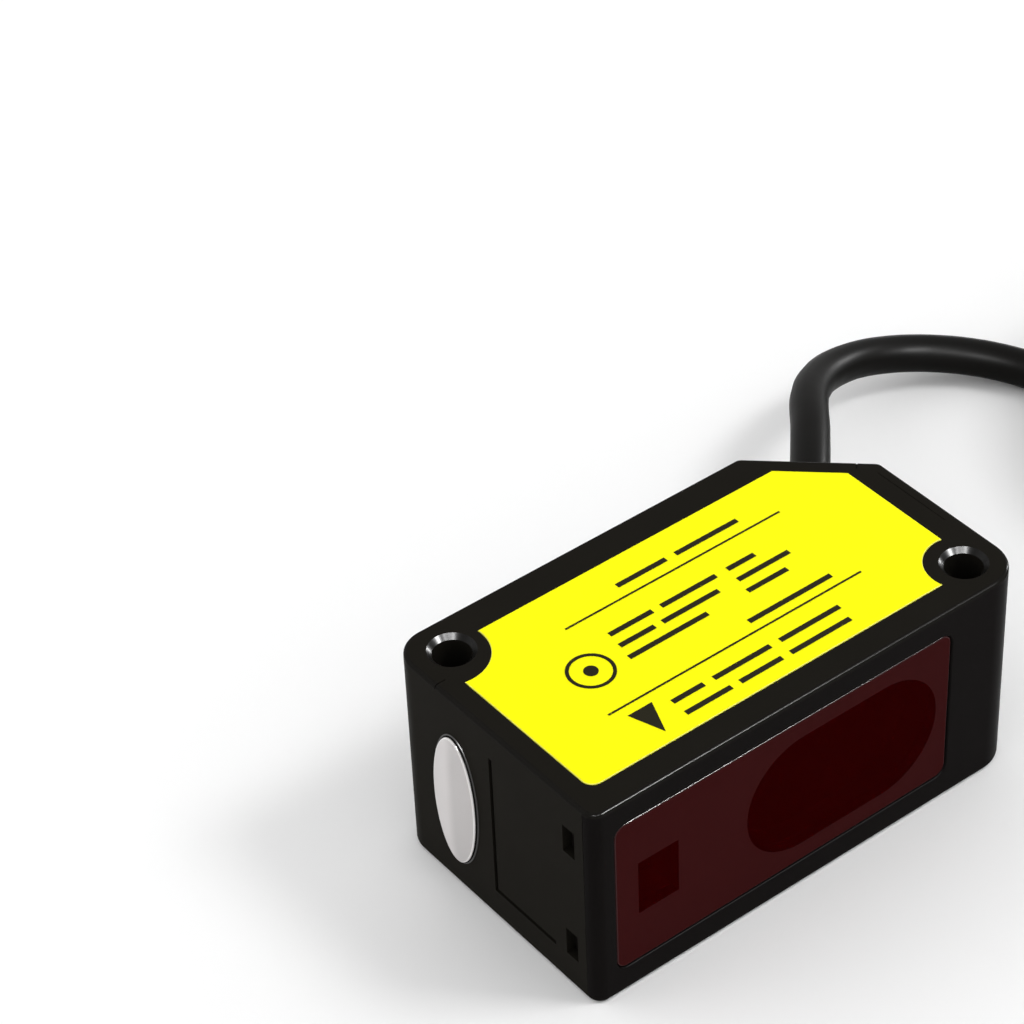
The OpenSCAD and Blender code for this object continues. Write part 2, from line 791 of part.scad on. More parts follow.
module label_outline() {
    difference() {
        rounded(
            corners(label_end, label_front, label_cable_end, label_back, label_chamfer),
            [1, 0.3, 0.3, 0.3, 0.3]
        );
        translate(hole_display + [-0.8, 0]) circle(relief_display_r);
        translate(hole_window) circle(relief_window_r);
    }
}

module label() color([1, 0.94, 0.02])
    translate([0, 0, body_h - label_seat]) linear_extrude(label_t) label_outline();

// The print is drawn for a label of this size, and follows the label when it changes
print_for = [39.1, 19.28];
print_shift = [0.45, 0.21];
label_size = [body_l - label_end - label_cable_end, body_w - label_front - label_back];
label_mid = [(label_end - label_cable_end) / 2, (label_front - label_back) / 2];

module label_artwork() {
    translate(label_mid) scale([label_size[0] / print_for[0], label_size[1] / print_for[1]])
        translate(print_shift) children();
}

// Rows of print, as bars: start, end and height on the label, as seen with the cable at the right
rule_w = 0.18;
rules = [[-10.4, 11.6, 5.1], [-14, 11.6, -4.6]];
bar_w = 0.5;
bars = [
    [-4.1, 0.9, 6.5], [1.9, 8.3, 6.5],
    [-8.2, -3.9, 2.4], [-3, 2.6, 2.4], [3.8, 6.6, 2.4],
    [-8.4, -4.9, 0.9], [-4.1, 1.6, 0.9], [3.6, 8.9, 0.9],
    [-8.7, -0.8, -0.6], [3.3, 7.4, -0.6],
    [1, 9.5, -3.4],
    [-9.4, -6.3, -6.6], [-5.3, 0.4, -6.6], [1.4, 7.5, -6.6],
    [-9.4, -4.9, -8.2], [-4, 0.2, -8.2], [1.1, 7.2, -8.2]
];

module label_print() color([0.08, 0.08, 0.05])
    translate([0, 0, body_h - label_seat + label_t]) linear_extrude(ink_t) label_artwork() {
        for (r = rules) translate([r[0], r[2] - rule_w / 2]) square([r[1] - r[0], rule_w]);
        for (b = bars) translate([b[0], b[2] - bar_w / 2]) square([b[1] - b[0], bar_w]);
        polygon([[-12.95, -5.6], [-11.85, -8.75], [-10.6, -5.6]]);
        translate([-11.9, 0.1]) difference() {
            circle(2);
            circle(1.7);
        }
        translate([-11.9, 0.1]) circle(0.6);
    }

// Indicator

module indicator_lens() color([0.86, 0.87, 0.88]) translate([0, lamp_y, lamp_z]) {
    facing_x(x0 - lamp_proud / 2, wall + lamp_proud / 2) polygon(oval(lamp_w, lamp_h));
    facing_x(x0 - lamp_proud * 3 / 4, lamp_proud / 4) polygon(oval(lamp_w - 0.3, lamp_h - 0.3));
    facing_x(x0 - lamp_proud, lamp_proud / 4) polygon(oval(lamp_w - 0.9, lamp_h - 0.9));
    difference() {
        facing_x(x0 + wall, lamp_flange_t)
            polygon(oval(lamp_w + 2 * lamp_flange, lamp_h + 2 * lamp_flange));
        translate([hole_display[0], hole_display[1] - lamp_y, -body_h])
            cylinder(d = boss_d + 0.2, h = 2 * body_h);
    }
}

module light_guide() color([0.9, 0.92, 0.93])
    translate([x0 + wall + lamp_flange_t, lamp_y, lamp_z]) rotate([0, 90, 0])
        cylinder(d = stem_d, h = stem_l);

module indicator_led() color([0.92, 0.9, 0.8]) {
    block(
        [led_x, main_board_y - 1.4, lamp_z - 1.8], [led_x + led_t, main_back, lamp_z + 1.8]
    );
}

// Display

module display_panel() color([0.05, 0.05, 0.055, 0.85]) difference() {
    facing_y(panel_y, panel_t) panel_outline(panel_fit);
    for (x = keys_x) translate([x, 0, key_z]) facing_y(panel_y - cut, panel_t + 2 * cut)
        round_rect(key_l + 2 * key_gap, key_h + 2 * key_gap, key_r + key_gap);
    for (z = [laser_lamp_z, power_lamp_z]) translate([lamps_x, 0, z])
        facing_y(panel_y - cut, panel_t + 2 * cut)
            square([lamp_bar_l, lamp_bar_h] + 0.06 * [1, 1], center = true);
}

module lamp_window(z) {
    translate([lamps_x, 0, z]) facing_y(module_y1, y1 - module_y1)
        square([lamp_bar_l, lamp_bar_h], center = true);
}

module power_lamp() color([0.85, 0.08, 0.08]) lamp_window(power_lamp_z);

module laser_lamp() color([0.1, 0.75, 0.15]) lamp_window(laser_lamp_z);

module display_module() color([0.1, 0.1, 0.105])
    block([module_x0, display_front, module_z0], [module_x1, module_y1, module_z1]);

// A bar with pointed ends, along X
module digit_bar_shape(l) {
    h = digit_bar / 2;
    polygon([[-l / 2, 0], [h - l / 2, -h], [l / 2 - h, -h], [l / 2, 0], [l / 2 - h, h], [h - l / 2, h]]);
}

module digit() {
    w = digit_w - digit_bar;
    h = digit_h - digit_bar;
    gap = 0.12;
    for (z = [-h / 2, 0, h / 2]) translate([0, z]) digit_bar_shape(w - gap);
    for (x = [-w / 2, w / 2]) for (z = [-h / 4, h / 4]) translate([x, z]) rotate(90)
        digit_bar_shape(h / 2 - gap);
}

module display_segments() color([0.3, 0.31, 0.32]) facing_y(module_y1, segment_t) {
    for (x = digits_x) translate([x, digits_z]) {
        digit();
        translate([digit_pitch / 2, digit_h / 2 - 0.4]) circle(0.35, $fn = 24);
    }
    translate([minus_x, digits_z]) digit_bar_shape(1.5);
}

module status_bars() color([0.28, 0.29, 0.3]) facing_y(module_y1, segment_t)
    for (x = status_x) translate([x, status_z]) square([lamp_bar_l, lamp_bar_h], center = true);

// Keys, with their switches

module key(i) {
    translate([keys_x[i], 0, key_z]) {
        facing_y(inner_y1 - 0.1, y1 + key_proud - inner_y1 + 0.1) round_rect(key_l, key_h, key_r);
        facing_y(key_back, key_flange_t)
            square([key_l + 2 * key_flange, key_h + 2 * key_flange], center = true);
    }
}

module key_mark(i) {
    translate([keys_x[i], 0, key_z]) facing_y(y1 + key_proud, ink_t) children();
}

module plunger(i) {
    translate([keys_x[i], switch_top - plunger_in, key_z]) rotate([-90, 0, 0])
        cylinder(d = plunger_d, h = key_back - switch_top + plunger_in, $fn = 32);
}

module set_button() color([0.8, 0.81, 0.83]) key(0);
module up_button() color([0.8, 0.81, 0.83]) key(1);
module down_button() color([0.8, 0.81, 0.83]) key(2);

module set_mark() color([0.1, 0.1, 0.11]) key_mark(0) difference() {
    square(2, center = true);
    square(1.5, center = true);
}
module up_mark() color([0.1, 0.1, 0.11]) key_mark(1) polygon([[1.1, 1], [-1, 0], [1.1, -1]]);
module down_mark() color([0.1, 0.1, 0.11]) key_mark(2) polygon([[-0.7, 0.8], [0.9, 0], [-0.7, -0.8]]);

module set_plunger() color([0.2, 0.2, 0.2]) plunger(0);
module up_plunger() color([0.2, 0.2, 0.2]) plunger(1);
module down_plunger() color([0.2, 0.2, 0.2]) plunger(2);

module key_switches() color([0.6, 0.6, 0.58]) for (x = keys_x) difference() {
    block(
        [x - switch_l / 2, display_front, key_z - switch_l / 2],
        [x + switch_l / 2, switch_top, key_z + switch_l / 2]
    );
    translate([x, switch_top - plunger_in - key_travel - plunger_room, key_z]) rotate([-90, 0, 0])
        cylinder(d = plunger_d + 2 * plunger_room, h = body_w, $fn = 32);
}

// Boards

module board(x_from, x_to, y, z_from = board_z0) {
    block([x_from, y, z_from], [x_to, y + board_t, z_from + board_h]);
}

module display_board() color([0.05, 0.3, 0.16])
    board(display_board_x0, display_board_x1, display_board_y);
module main_board() color([0.05, 0.3, 0.16]) board(main_board_x0, main_board_x1, main_board_y);
module sensor_board() color([0.05, 0.3, 0.16])
    board(sensor_board_x0, receiver_x + box_l / 2 - 2, box_back, board_z0);

module front_header() color([0.12, 0.12, 0.12])
    block(
        [sensor_board_x0 + 1.2, box_back + board_t, mid_z - header_h / 2],
        [sensor_board_x0 + 1.2 + header_t, main_board_y, mid_z + header_h / 2]
    );
module rear_header() color([0.12, 0.12, 0.12])
    block(
        [main_board_x1 - header_end - header_t, main_back, mid_z - header_h / 2],
        [main_board_x1 - header_end, display_board_y, mid_z + header_h / 2]
    );
module processor() color([0.1, 0.1, 0.11])
    translate([(main_board_x0 + main_board_x1) / 2 - 1.4, main_back, mid_z])
        block([-chip_l / 2, 0, -chip_l / 2], [chip_l / 2, 1.1, chip_l / 2]);
module cable_connector() color([0.85, 0.83, 0.75]) block(
    [connector_x[0], main_board_y - connector_t, mid_z - connector_h / 2],
    [connector_x[1], main_board_y, mid_z + connector_h / 2]
);

// Optics

module optics_chassis() color([0.1, 0.1, 0.105]) difference() {
    union() {
        translate([window_x, 0, mid_z]) facing_y(mask_y, front_y - mask_y) round_rect(
            window_open_l - 2 * mask_fit, window_open_h - 2 * mask_fit, window_r - mask_fit
        );
        block(
            [emitter_x - barrel_d / 2 + 0.2, front_y, mid_z - window_h / 2 - 0.3],
            [receiver_x + box_l / 2 + box_wall + 0.5, mask_back, mid_z + window_h / 2 + 0.3]
        );
        translate([emitter_x, front_y, mid_z]) rotate([-90, 0, 0])
            cylinder(d = barrel_d, h = barrel_back - front_y);
        translate([receiver_x, 0, mid_z]) facing_y(mask_back, box_depth)
            square([box_l + 2 * box_wall, box_h + 2 * box_wall], center = true);
        ears();
    }
    translate([emitter_x, 0, mid_z]) facing_y(y0, mask_back - y0 + 0.1)
        square([emitter_l, emitter_h], center = true);
    translate([emitter_x, mask_back, mid_z]) rotate([-90, 0, 0])
        cylinder(d = barrel_bore, h = body_w);
    translate([receiver_x, 0, mid_z]) facing_y(y0, mask_back - y0 + 0.1)
        stadium(receiver_l, receiver_h);
    translate([receiver_x, 0, mid_z]) facing_y(mask_back, body_w)
        square([box_l, box_h], center = true);
    for (e = [ear_left, ear_right]) translate([e[0], e[1], floor_t])
        cylinder(d = screw_d + 0.1, h = ear_z + ear_t, $fn = 24);
}

// The ears reach the box's wall, and stay out of its inside
module ears() {
    side = receiver_x - box_l / 2 - box_wall / 2;
    block(
        [ear_left[0] - ear_w / 2, ear_left[1] - ear_w / 2, ear_z],
        [side, ear_left[1] + ear_w / 2, ear_z + ear_t]
    );
    block(
        [receiver_x + box_l / 2 + box_wall / 2, ear_right[1] - ear_w / 2, ear_z],
        [ear_right[0] + ear_w / 2, ear_right[1] + ear_w / 2, ear_z + ear_t]
    );
}

module chassis_screws() color([0.7, 0.7, 0.72]) for (e = [ear_left, ear_right])
    translate([e[0], e[1], ear_z + ear_t]) difference() {
        union() {
            cylinder(d = screw_head_d, h = 1);
            translate([0, 0, -ear_t - screw_in])
                cylinder(d = screw_d - 0.04, h = ear_t + screw_in, $fn = 24);
        }
        translate([0, 0, 0.5]) block([-0.8, -0.15, 0], [0.8, 0.15, 1]);
        translate([0, 0, 0.5]) block([-0.15, -0.8, 0], [0.15, 0.8, 1]);
    }

optic_d = barrel_bore - 2 * seat_fit;
beam_lens_t = 2.2;
flange_t = 1.2;
can_l = 1.8;
image_l = receiver_l - 6.7;
image_h = 6;
image_t = 1.3;

module collimator_lens() color([0.75, 0.85, 0.9]) translate([emitter_x, mask_back, mid_z])
    rotate([-90, 0, 0]) intersection() {
        cylinder(d = optic_d, h = beam_lens_t);
        translate([0, 0, beam_lens_t - 4]) sphere(4);
    }

module lens_ring() color([0.8, 0.68, 0.35])
    translate([emitter_x, mask_back + beam_lens_t, mid_z]) rotate([-90, 0, 0]) difference() {
        cylinder(d = optic_d, h = barrel_l - beam_lens_t - flange_t);
        translate([0, 0, -cut]) cylinder(d = optic_d - 1.2, h = barrel_l);
    }

module laser_diode() color([0.78, 0.72, 0.5])
    translate([emitter_x, barrel_back - flange_t, mid_z]) rotate([-90, 0, 0]) {
        cylinder(d = optic_d, h = flange_t);
        translate([0, 0, -can_l]) cylinder(d = optic_d - 1.9, h = can_l);
        for (a = [90, 210, 330]) rotate(a) translate([1.2, 0, flange_t])
            cylinder(d = 0.45, h = 3, $fn = 16);
    }

module receiver_lens() color([0.72, 0.8, 0.86]) {
    r = (pow(lens_l / 2, 2) + pow(lens_bulge, 2)) / (2 * lens_bulge);
    translate([receiver_x, 0, mid_z]) facing_y(mask_back, lens_rim_t) stadium(lens_l, lens_h);
    translate([receiver_x, mask_back, mid_z]) intersection() {
        translate([0, r - lens_bulge, 0]) sphere(r, $fn = 96);
        facing_y(-lens_bulge, lens_bulge) stadium(receiver_l - 0.2, receiver_h - 0.2);
    }
}

module image_sensor() color([0.2, 0.2, 0.22]) {
    x = receiver_x + 2;
    block(
        [x - image_l / 2, box_back - image_t, mid_z - image_h / 2],
        [x + image_l / 2, box_back, mid_z + image_h / 2]
    );
}

// Cable

module cable_boot() color([0.11, 0.11, 0.115]) at_chamfer() difference() {
    union() {
        boot_plate(0, boot_step_t, boot_w, boot_h, 1.2);
        boot_plate(boot_step_t, boot_step_t, boot_top_w, boot_top_h, 1.5);
        outward(-wall, 0, neck_d - 2 * boot_fit);
        outward(-wall - collar_t, -wall, collar_d);
    }
    outward(-body_w, body_w, cable_d + 2 * boot_fit);
}

module cable_entry() color([0.1, 0.1, 0.1]) at_chamfer() outward(-entry_in, exit_out, cable_d);

module cable_clamp() color([0.7, 0.71, 0.73]) at_chamfer() difference() {
    outward(-wall - collar_t - 0.1 - clamp_l, -wall - collar_t - 0.1, clamp_d);
    outward(-body_w, body_w, cable_d + 2 * boot_fit);
}

module inner_leads() color([0.5, 0.35, 0.2]) {
    inner_d = 0.6;
    gap = 0.25;
    end = [chamfer_mid[0], chamfer_mid[1]] - (entry_in + gap) * chamfer_out;
    for (k = [-2:2]) rod(
        [end[0], end[1], mid_z + k * (inner_d + 0.04)],
        [connector_x[1] + 0.02, main_board_y - connector_t / 2, mid_z + k * 1.8],
        inner_d
    );
}

module cable() color([0.1, 0.1, 0.1]) tube(cable_way, cable_d);

module cable_tail() color([0.1, 0.1, 0.1]) tube(tail_way, cable_d);

module cable_coil() color([0.1, 0.1, 0.1]) difference() {
    translate([coil_mid[0], coil_mid[1], 0]) rotate_extrude() coil_section();
    tie_sector() difference() {
        translate([coil_in_r - cable_d, -cut]) square([2 * coil_r, cable_d + cut]);
        coil_section(lift = tie_lift);
    }
}

module coil_tie() color([0.15, 0.15, 0.16]) tie_sector() difference() {
    coil_section(grow = tie_lift, lift = tie_lift);
    coil_section(grow = tie_gap, lift = tie_lift);
}

module lead_brown() color([0.33, 0.17, 0.08]) core(0);
module lead_blue() color([0.08, 0.25, 0.62]) core(1);
module lead_black() color([0.06, 0.06, 0.06]) core(2);
module lead_white() color([0.9, 0.9, 0.88]) core(3);
module lead_grey() color([0.5, 0.5, 0.5]) core(4);

module lead_tips() color([0.75, 0.75, 0.77]) for (i = [0:4]) {
    p = core_way(i);
    end = p[len(p) - 1];
    rod(end, end + tip_l * unit(end - p[len(p) - 2]), core_d * 0.6);
}

main_case();
side_cover();
cover_seal();
front_bezel();
window_gasket();
window();
label();
label_print();
indicator_lens();
light_guide();
indicator_led();
display_panel();
power_lamp();
laser_lamp();
set_button();
up_button();
down_button();
set_mark();
up_mark();
down_mark();
set_plunger();
up_plunger();
down_plunger();
key_switches();
display_module();
display_segments();
status_bars();
display_board();
main_board();
sensor_board();
front_header();
rear_header();
processor();
cable_connector();
optics_chassis();
chassis_screws();
laser_diode();
collimator_lens();
lens_ring();
receiver_lens();
image_sensor();
cable_boot();
cable_entry();
cable_clamp();
inner_leads();
cable();
cable_coil();
coil_tie();
cable_tail();
lead_brown();
lead_blue();
lead_black();
lead_white();
lead_grey();
lead_tips();
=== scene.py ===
"""Dresses a packed laser distance sensor: camera, studio, cable, housing, display and finishes."""

import logging
import math
from collections.abc import Callable, Iterator, Sequence
from contextlib import contextmanager
from dataclasses import dataclass
from enum import Enum

import bmesh
import bpy
from mathutils import Matrix, Vector


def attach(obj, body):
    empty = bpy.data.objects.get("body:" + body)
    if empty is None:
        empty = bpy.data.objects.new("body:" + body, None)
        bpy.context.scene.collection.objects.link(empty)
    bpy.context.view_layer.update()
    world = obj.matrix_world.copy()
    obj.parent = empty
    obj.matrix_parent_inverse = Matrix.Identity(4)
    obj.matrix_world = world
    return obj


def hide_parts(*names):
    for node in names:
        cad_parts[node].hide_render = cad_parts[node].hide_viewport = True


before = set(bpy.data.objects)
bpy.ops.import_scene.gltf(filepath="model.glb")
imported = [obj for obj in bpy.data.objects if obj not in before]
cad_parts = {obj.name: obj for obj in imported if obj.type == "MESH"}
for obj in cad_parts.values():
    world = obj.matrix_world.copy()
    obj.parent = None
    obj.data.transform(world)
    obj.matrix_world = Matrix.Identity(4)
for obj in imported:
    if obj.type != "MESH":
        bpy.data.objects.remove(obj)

log = logging.getLogger("sensor")
MM = 0.001
CLOSE = 2e-3  # millimetres within which two places are the same
ROUND_SIDES = 64
SMOOTH_ANGLE = 35  # degrees
WEAR = 0.12  # how much the gloss of a surface varies
COAT_ROUGHNESS = 0.08
KEY_PLACES = (-9.0, -1.1, 6.8)
Piece = bpy.types.Object
Socket = bpy.types.NodeSocket
Point = tuple[float, float, float]
Box = tuple[Point, Point]
Colour = tuple[float, float, float]
EdgeTest = Callable[[Vector, Vector], bool]
FaceTest = Callable[[bmesh.types.BMFace], bool]


class Axis(Enum):
    """The direction that a rod or a rounded block runs along."""

    X = 0
    Y = 1
    Z = 2


class Body(Enum):
    """The bodies of the frame that a piece can ride on."""

    SENSOR = "sensor"
    SET_KEY = "set_key"
    UP_KEY = "up_key"
    DOWN_KEY = "down_key"


class Bench:
    """The modelling bench. Pieces are shaped in millimetres, and settled in metres."""

    @staticmethod
    def take(piece: Piece) -> None:
        """Makes one piece the only selected one, and the active one.

        Args:
            piece: The piece to work on.
        """
        bpy.ops.object.select_all(action="DESELECT")
        piece.select_set(True)
        bpy.context.view_layer.objects.active = piece

    @staticmethod
    @contextmanager
    def editing(piece: Piece, kind: str = "EDGE") -> Iterator[None]:
        """Opens one piece in edit mode, with nothing of it selected.

        Args:
            piece: The piece to edit.
            kind: What is selected there: VERT, EDGE or FACE.
        """
        Bench.take(piece)
        bpy.ops.object.mode_set(mode="EDIT")
        bpy.ops.mesh.select_mode(type=kind)
        bpy.ops.mesh.select_all(action="DESELECT")
        yield
        bpy.ops.object.mode_set(mode="OBJECT")

    @staticmethod
    def block(name: str, low: Point, high: Point) -> Piece:
        """Adds a block between two corners.

        Args:
            name: The piece's name.
            low: Its lowest corner.
            high: Its highest corner.

        Returns:
            The new piece.
        """
        bpy.ops.object.select_all(action="DESELECT")
        bpy.ops.mesh.primitive_cube_add(size=1)
        return Bench.fit(name, low, high)

    @staticmethod
    def oval(name: str, low: Point, high: Point) -> Piece:
        """Adds an upright oval prism that runs along X and fills a box."""
        Bench.rod(name, (0, 0, 0), 0.5, 1, Axis.X)
        return Bench.fit(name, low, high)

    @staticmethod
    def fit(name: str, low: Point, high: Point) -> Piece:
        """Names the new unit primitive, and stretches it to a box.

        Args:
            name: The piece's name.
            low: The lowest corner of the box.
            high: Its highest corner.

        Returns:
            The primitive.
        """
        piece = bpy.context.object
        piece.name = name
        piece.location = [(a + b) / 2 for a, b in zip(low, high)]
        piece.scale = [b - a for a, b in zip(low, high)]
        bpy.ops.object.transform_apply()
        return piece

    @staticmethod
    def rod(
        name: str, middle: Point, radius: float, length: float, axis: Axis = Axis.Z
    ) -> Piece:
        """Adds a round rod.

        Args:
            name: The piece's name.
            middle: The middle of the rod.
            radius: Its radius.
            length: Its length.
            axis: The direction that it runs along.

        Returns:
            The new piece.
        """
        turns = {Axis.X: (0, math.pi / 2, 0), Axis.Y: (math.pi / 2, 0, 0), Axis.Z: (0, 0, 0)}
        bpy.ops.object.select_all(action="DESELECT")
        bpy.ops.mesh.primitive_cylinder_add(
            vertices=ROUND_SIDES, radius=radius, depth=length, location=middle, rotation=turns[axis]
        )
        piece = bpy.context.object
        piece.name = name
        bpy.ops.object.transform_apply()
        return piece

    @staticmethod
    def slab(
        name: str, low: Point, high: Point, axis: Axis, radius: float, steps: int = 6
    ) -> Piece:
        """Adds a block whose four edges along one direction are round.

        Args:
            name: The piece's name.
            low: Its lowest corner.
            high: Its highest corner.
            axis: The direction of the round edges.
            radius: Their radius.
            steps: The number of faces round each of them.

        Returns:
            The new piece.
        """
        piece = Bench.block(name, low, high)
        Bench.round_edges(piece, Bench.running(axis), radius, steps)
        return piece

    @staticmethod
    def moved(box: Box, x: float = 0.0, z: float = 0.0) -> Box:
        """Returns a box moved along X and Z."""
        return tuple((corner[0] + x, corner[1], corner[2] + z) for corner in box)

    @staticmethod
    def copy(piece: Piece, name: str) -> Piece:
        """Copies a piece, with a mesh of its own.

        Args:
            piece: The piece to copy.
            name: The copy's name.

        Returns:
            The copy.
        """
        double = piece.copy()
        double.data = piece.data.copy()
        double.name = name
        bpy.context.scene.collection.objects.link(double)
        return double

    @staticmethod
    def running(axis: Axis) -> EdgeTest:
        """Returns a test for edges that run along one direction."""
        return lambda a, b: all((abs(b[k] - a[k]) > 1e-4) == (k == axis.value) for k in range(3))

    @staticmethod
    def level(axis: Axis, place: float) -> EdgeTest:
        """Returns a test for edges in the plane that crosses a direction at a place."""
        return lambda a, b: all(abs(v[axis.value] - place) < CLOSE for v in (a, b))

    @staticmethod
    def round_edges(
        piece: Piece,
        test: EdgeTest,
        width: float,
        steps: int = 3,
        finish: "Finish | None" = None,
    ) -> None:
        """Bevels the edges that pass a test.

        Args:
            piece: The piece.
            test: What tells whether an edge is bevelled, from its two ends.
            width: How far the bevel reaches from the edge.
            steps: The number of faces across it.
            finish: A finish for the new faces alone, none of which has over four corners.
        """
        with Bench.editing(piece):
            mesh = bmesh.from_edit_mesh(piece.data)
            for edge in mesh.edges:
                if test(edge.verts[0].co, edge.verts[1].co):
                    edge.select_set(True)
            bmesh.update_edit_mesh(piece.data)
            bpy.ops.mesh.bevel(offset=width, segments=steps, profile=0.5, affect="EDGES")
            if finish:
                bpy.ops.mesh.select_mode(type="FACE")
                Bench.pick_faces(piece, lambda face: face.select and len(face.verts) <= 4)
                finish.paint(piece)

    @staticmethod
    def pick_faces(piece: Piece, test: FaceTest) -> None:
        """Leaves the faces that pass a test selected, on a piece in edit mode.

        Args:
            piece: The piece.
            test: What tells whether a face is selected.
        """
        mesh = bmesh.from_edit_mesh(piece.data)
        for face in mesh.faces:
            face.select_set(test(face))
        bmesh.update_edit_mesh(piece.data)

    @staticmethod
    def paint_faces(piece: Piece, test: FaceTest, finish: "Finish") -> None:
        """Gives a finish to the faces that pass a test.

        Args:
            piece: The piece.
            test: What tells whether a face is painted.
            finish: The finish.
        """
        with Bench.editing(piece, "FACE"):
            Bench.pick_faces(piece, test)
            finish.paint(piece)

    @staticmethod
    def slice_off(piece: Piece, place: Sequence[float], normal: Sequence[float]) -> None:
        """Cuts off what lies beyond a plane, and closes the cut.

        Args:
            piece: The piece.
            place: A point of the plane.
            normal: The side that is cut off.
        """
        with Bench.editing(piece, "VERT"):
            bpy.ops.mesh.select_all(action="SELECT")
            bpy.ops.mesh.bisect(
                plane_co=place, plane_no=normal, use_fill=True, clear_outer=True
            )

    @staticmethod
    def carve(piece: Piece, *tools: Piece) -> None:
        """Cuts the shapes of tools out of a piece, and clears the tools away.

        Args:
            piece: The piece.
            tools: The shapes to cut out.
        """
        for tool in tools:
            Bench.take(piece)
            step = piece.modifiers.new("carve", "BOOLEAN")
            step.operation = "DIFFERENCE"
            step.solver = "EXACT"
            step.object = tool
            bpy.ops.object.modifier_apply(modifier=step.name)
            bpy.data.objects.remove(tool, do_unlink=True)

    @staticmethod
    def join(piece: Piece, *others: Piece) -> Piece:
        """Joins pieces into the first one.

        Args:
            piece: The piece that stays.
            others: The pieces that become part of it.

        Returns:
            The joined piece.
        """
        Bench.take(piece)
        for other in others:
            other.select_set(True)
        bpy.ops.object.join()
        return piece

    @staticmethod
    def settle(
        piece: Piece,
        finish: "Finish",
        slot: str,
        body: Body = Body.SENSOR,
        stands_for: Sequence[str] = (),
    ) -> None:
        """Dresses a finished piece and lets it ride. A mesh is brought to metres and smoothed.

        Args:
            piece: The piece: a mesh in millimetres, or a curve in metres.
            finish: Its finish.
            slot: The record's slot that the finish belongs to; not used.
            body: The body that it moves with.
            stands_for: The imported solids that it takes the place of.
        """
        if piece.type == "MESH":
            Bench.take(piece)
            piece.scale = (MM, MM, MM)
            bpy.ops.object.transform_apply()
            bpy.ops.object.shade_smooth_by_angle(angle=math.radians(SMOOTH_ANGLE))
            even = piece.modifiers.new("even", "WEIGHTED_NORMAL")
            even.keep_sharp = True
            bpy.ops.object.modifier_apply(modifier=even.name)
        finish.dress(piece)
        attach(piece, body.value)
        if stands_for:
            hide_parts(*stands_for)
        log.info("%s: %s, for %s", piece.name, finish.name, ", ".join(stands_for) or "itself")


class Graph:
    """The node graph of one material, read from the object's own coordinates."""

    def __init__(self, name: str) -> None:
        """Starts a material with its main shader.

        Args:
            name: The material's name.
        """
        self.material = bpy.data.materials.new(name)
        self.material.use_nodes = True
        self.tree = self.material.node_tree
        self.shader = next(n for n in self.tree.nodes if n.type == "BSDF_PRINCIPLED")
        self.place = self.tree.nodes.new("ShaderNodeTexCoord").outputs["Object"]

    def feed(self, node: bpy.types.Node, **values: object) -> None:
        """Sets or links the inputs of a node.

        Args:
            node: The node.
            values: The inputs by name, with _ for a space: a constant, or the socket that is read.
        """
        for name, value in values.items():
            entry = node.inputs[name.replace("_", " ")]
            if isinstance(value, Socket):
                self.tree.links.new(value, entry)
            else:
                entry.default_value = value

    def add(self, kind: str, **values: object) -> bpy.types.Node:
        """Adds a node.

        Args:
            kind: Its type, without the leading ShaderNode.
            values: Its inputs, as feed takes them.

        Returns:
            The node.
        """
        node = self.tree.nodes.new(f"ShaderNode{kind}")
        self.feed(node, **values)
        return node

    def mapped(self, scale: Point, turn: Point = (0, 0, 0)) -> Socket:
        """Returns the coordinates, stretched by factors and turned by degrees."""
        turns = [math.radians(t) for t in turn]
        return self.add("Mapping", Vector=self.place, Rotation=turns, Scale=scale).outputs["Vector"]

    def noise(self, size: float, detail: float = 3.0, place: Socket | None = None) -> Socket:
        """Returns soft irregular patches of a size in millimetres, from 0 to 1."""
        values = {"Vector": place or self.place, "Scale": 1 / (size * MM), "Detail": detail}
        return self.add("TexNoise", **values).outputs["Fac"]

    def between(self, share: Socket, first: Colour, second: Colour) -> Socket:
        """Mixes two colours.

        Args:
            share: How much of the second colour shows.
            first: The colour at 0.
            second: The colour at 1.

        Returns:
            The mixed colour.
        """
        node = self.add("Mix")
        node.data_type = "RGBA"
        node.inputs[6].default_value = (*first, 1)
        node.inputs[7].default_value = (*second, 1)
        self.tree.links.new(share, node.inputs[0])
        return node.outputs[2]

    def ranged(self, value: Socket, low: float, high: float) -> Socket:
        """Returns a value from 0 to 1, brought into another range."""
        return self.add("MapRange", Value=value, To_Min=low, To_Max=high).outputs["Result"]

    def along(self, axis: Axis, low: float, high: float) -> Socket:
        """Returns how far a point lies between two places in millimetres, from 0 to 1."""
        spot = self.add("SeparateXYZ", Vector=self.place).outputs[axis.value]
        return self.add("MapRange", Value=spot, From_Min=low * MM, From_Max=high * MM).outputs["Result"]

    def ramp(self, value: Socket, stops: Sequence[tuple[float, Colour]], kind: str) -> Socket:
        """Turns a value into a colour.

        Args:
            value: The value.
            stops: Rising places from 0 to 1, each with its colour.
            kind: How one colour passes into the next: CONSTANT or EASE.

        Returns:
            The colour.
        """
        node = self.add("ValToRGB", Fac=value)
        node.color_ramp.interpolation = kind
        marks = node.color_ramp.elements
        while len(marks) < len(stops):
            marks.new(1.0)
        for k, (place, colour) in enumerate(stops):
            marks[k].position = place
            marks[k].color = (*colour, 1)
        return node.outputs["Color"]

    def relief(self, height: Socket, depth: float) -> Socket:
        """Returns the normal of a surface that a value raises by a depth in millimetres."""
        return self.add("Bump", Height=height, Strength=1.0, Distance=depth * MM).outputs["Normal"]


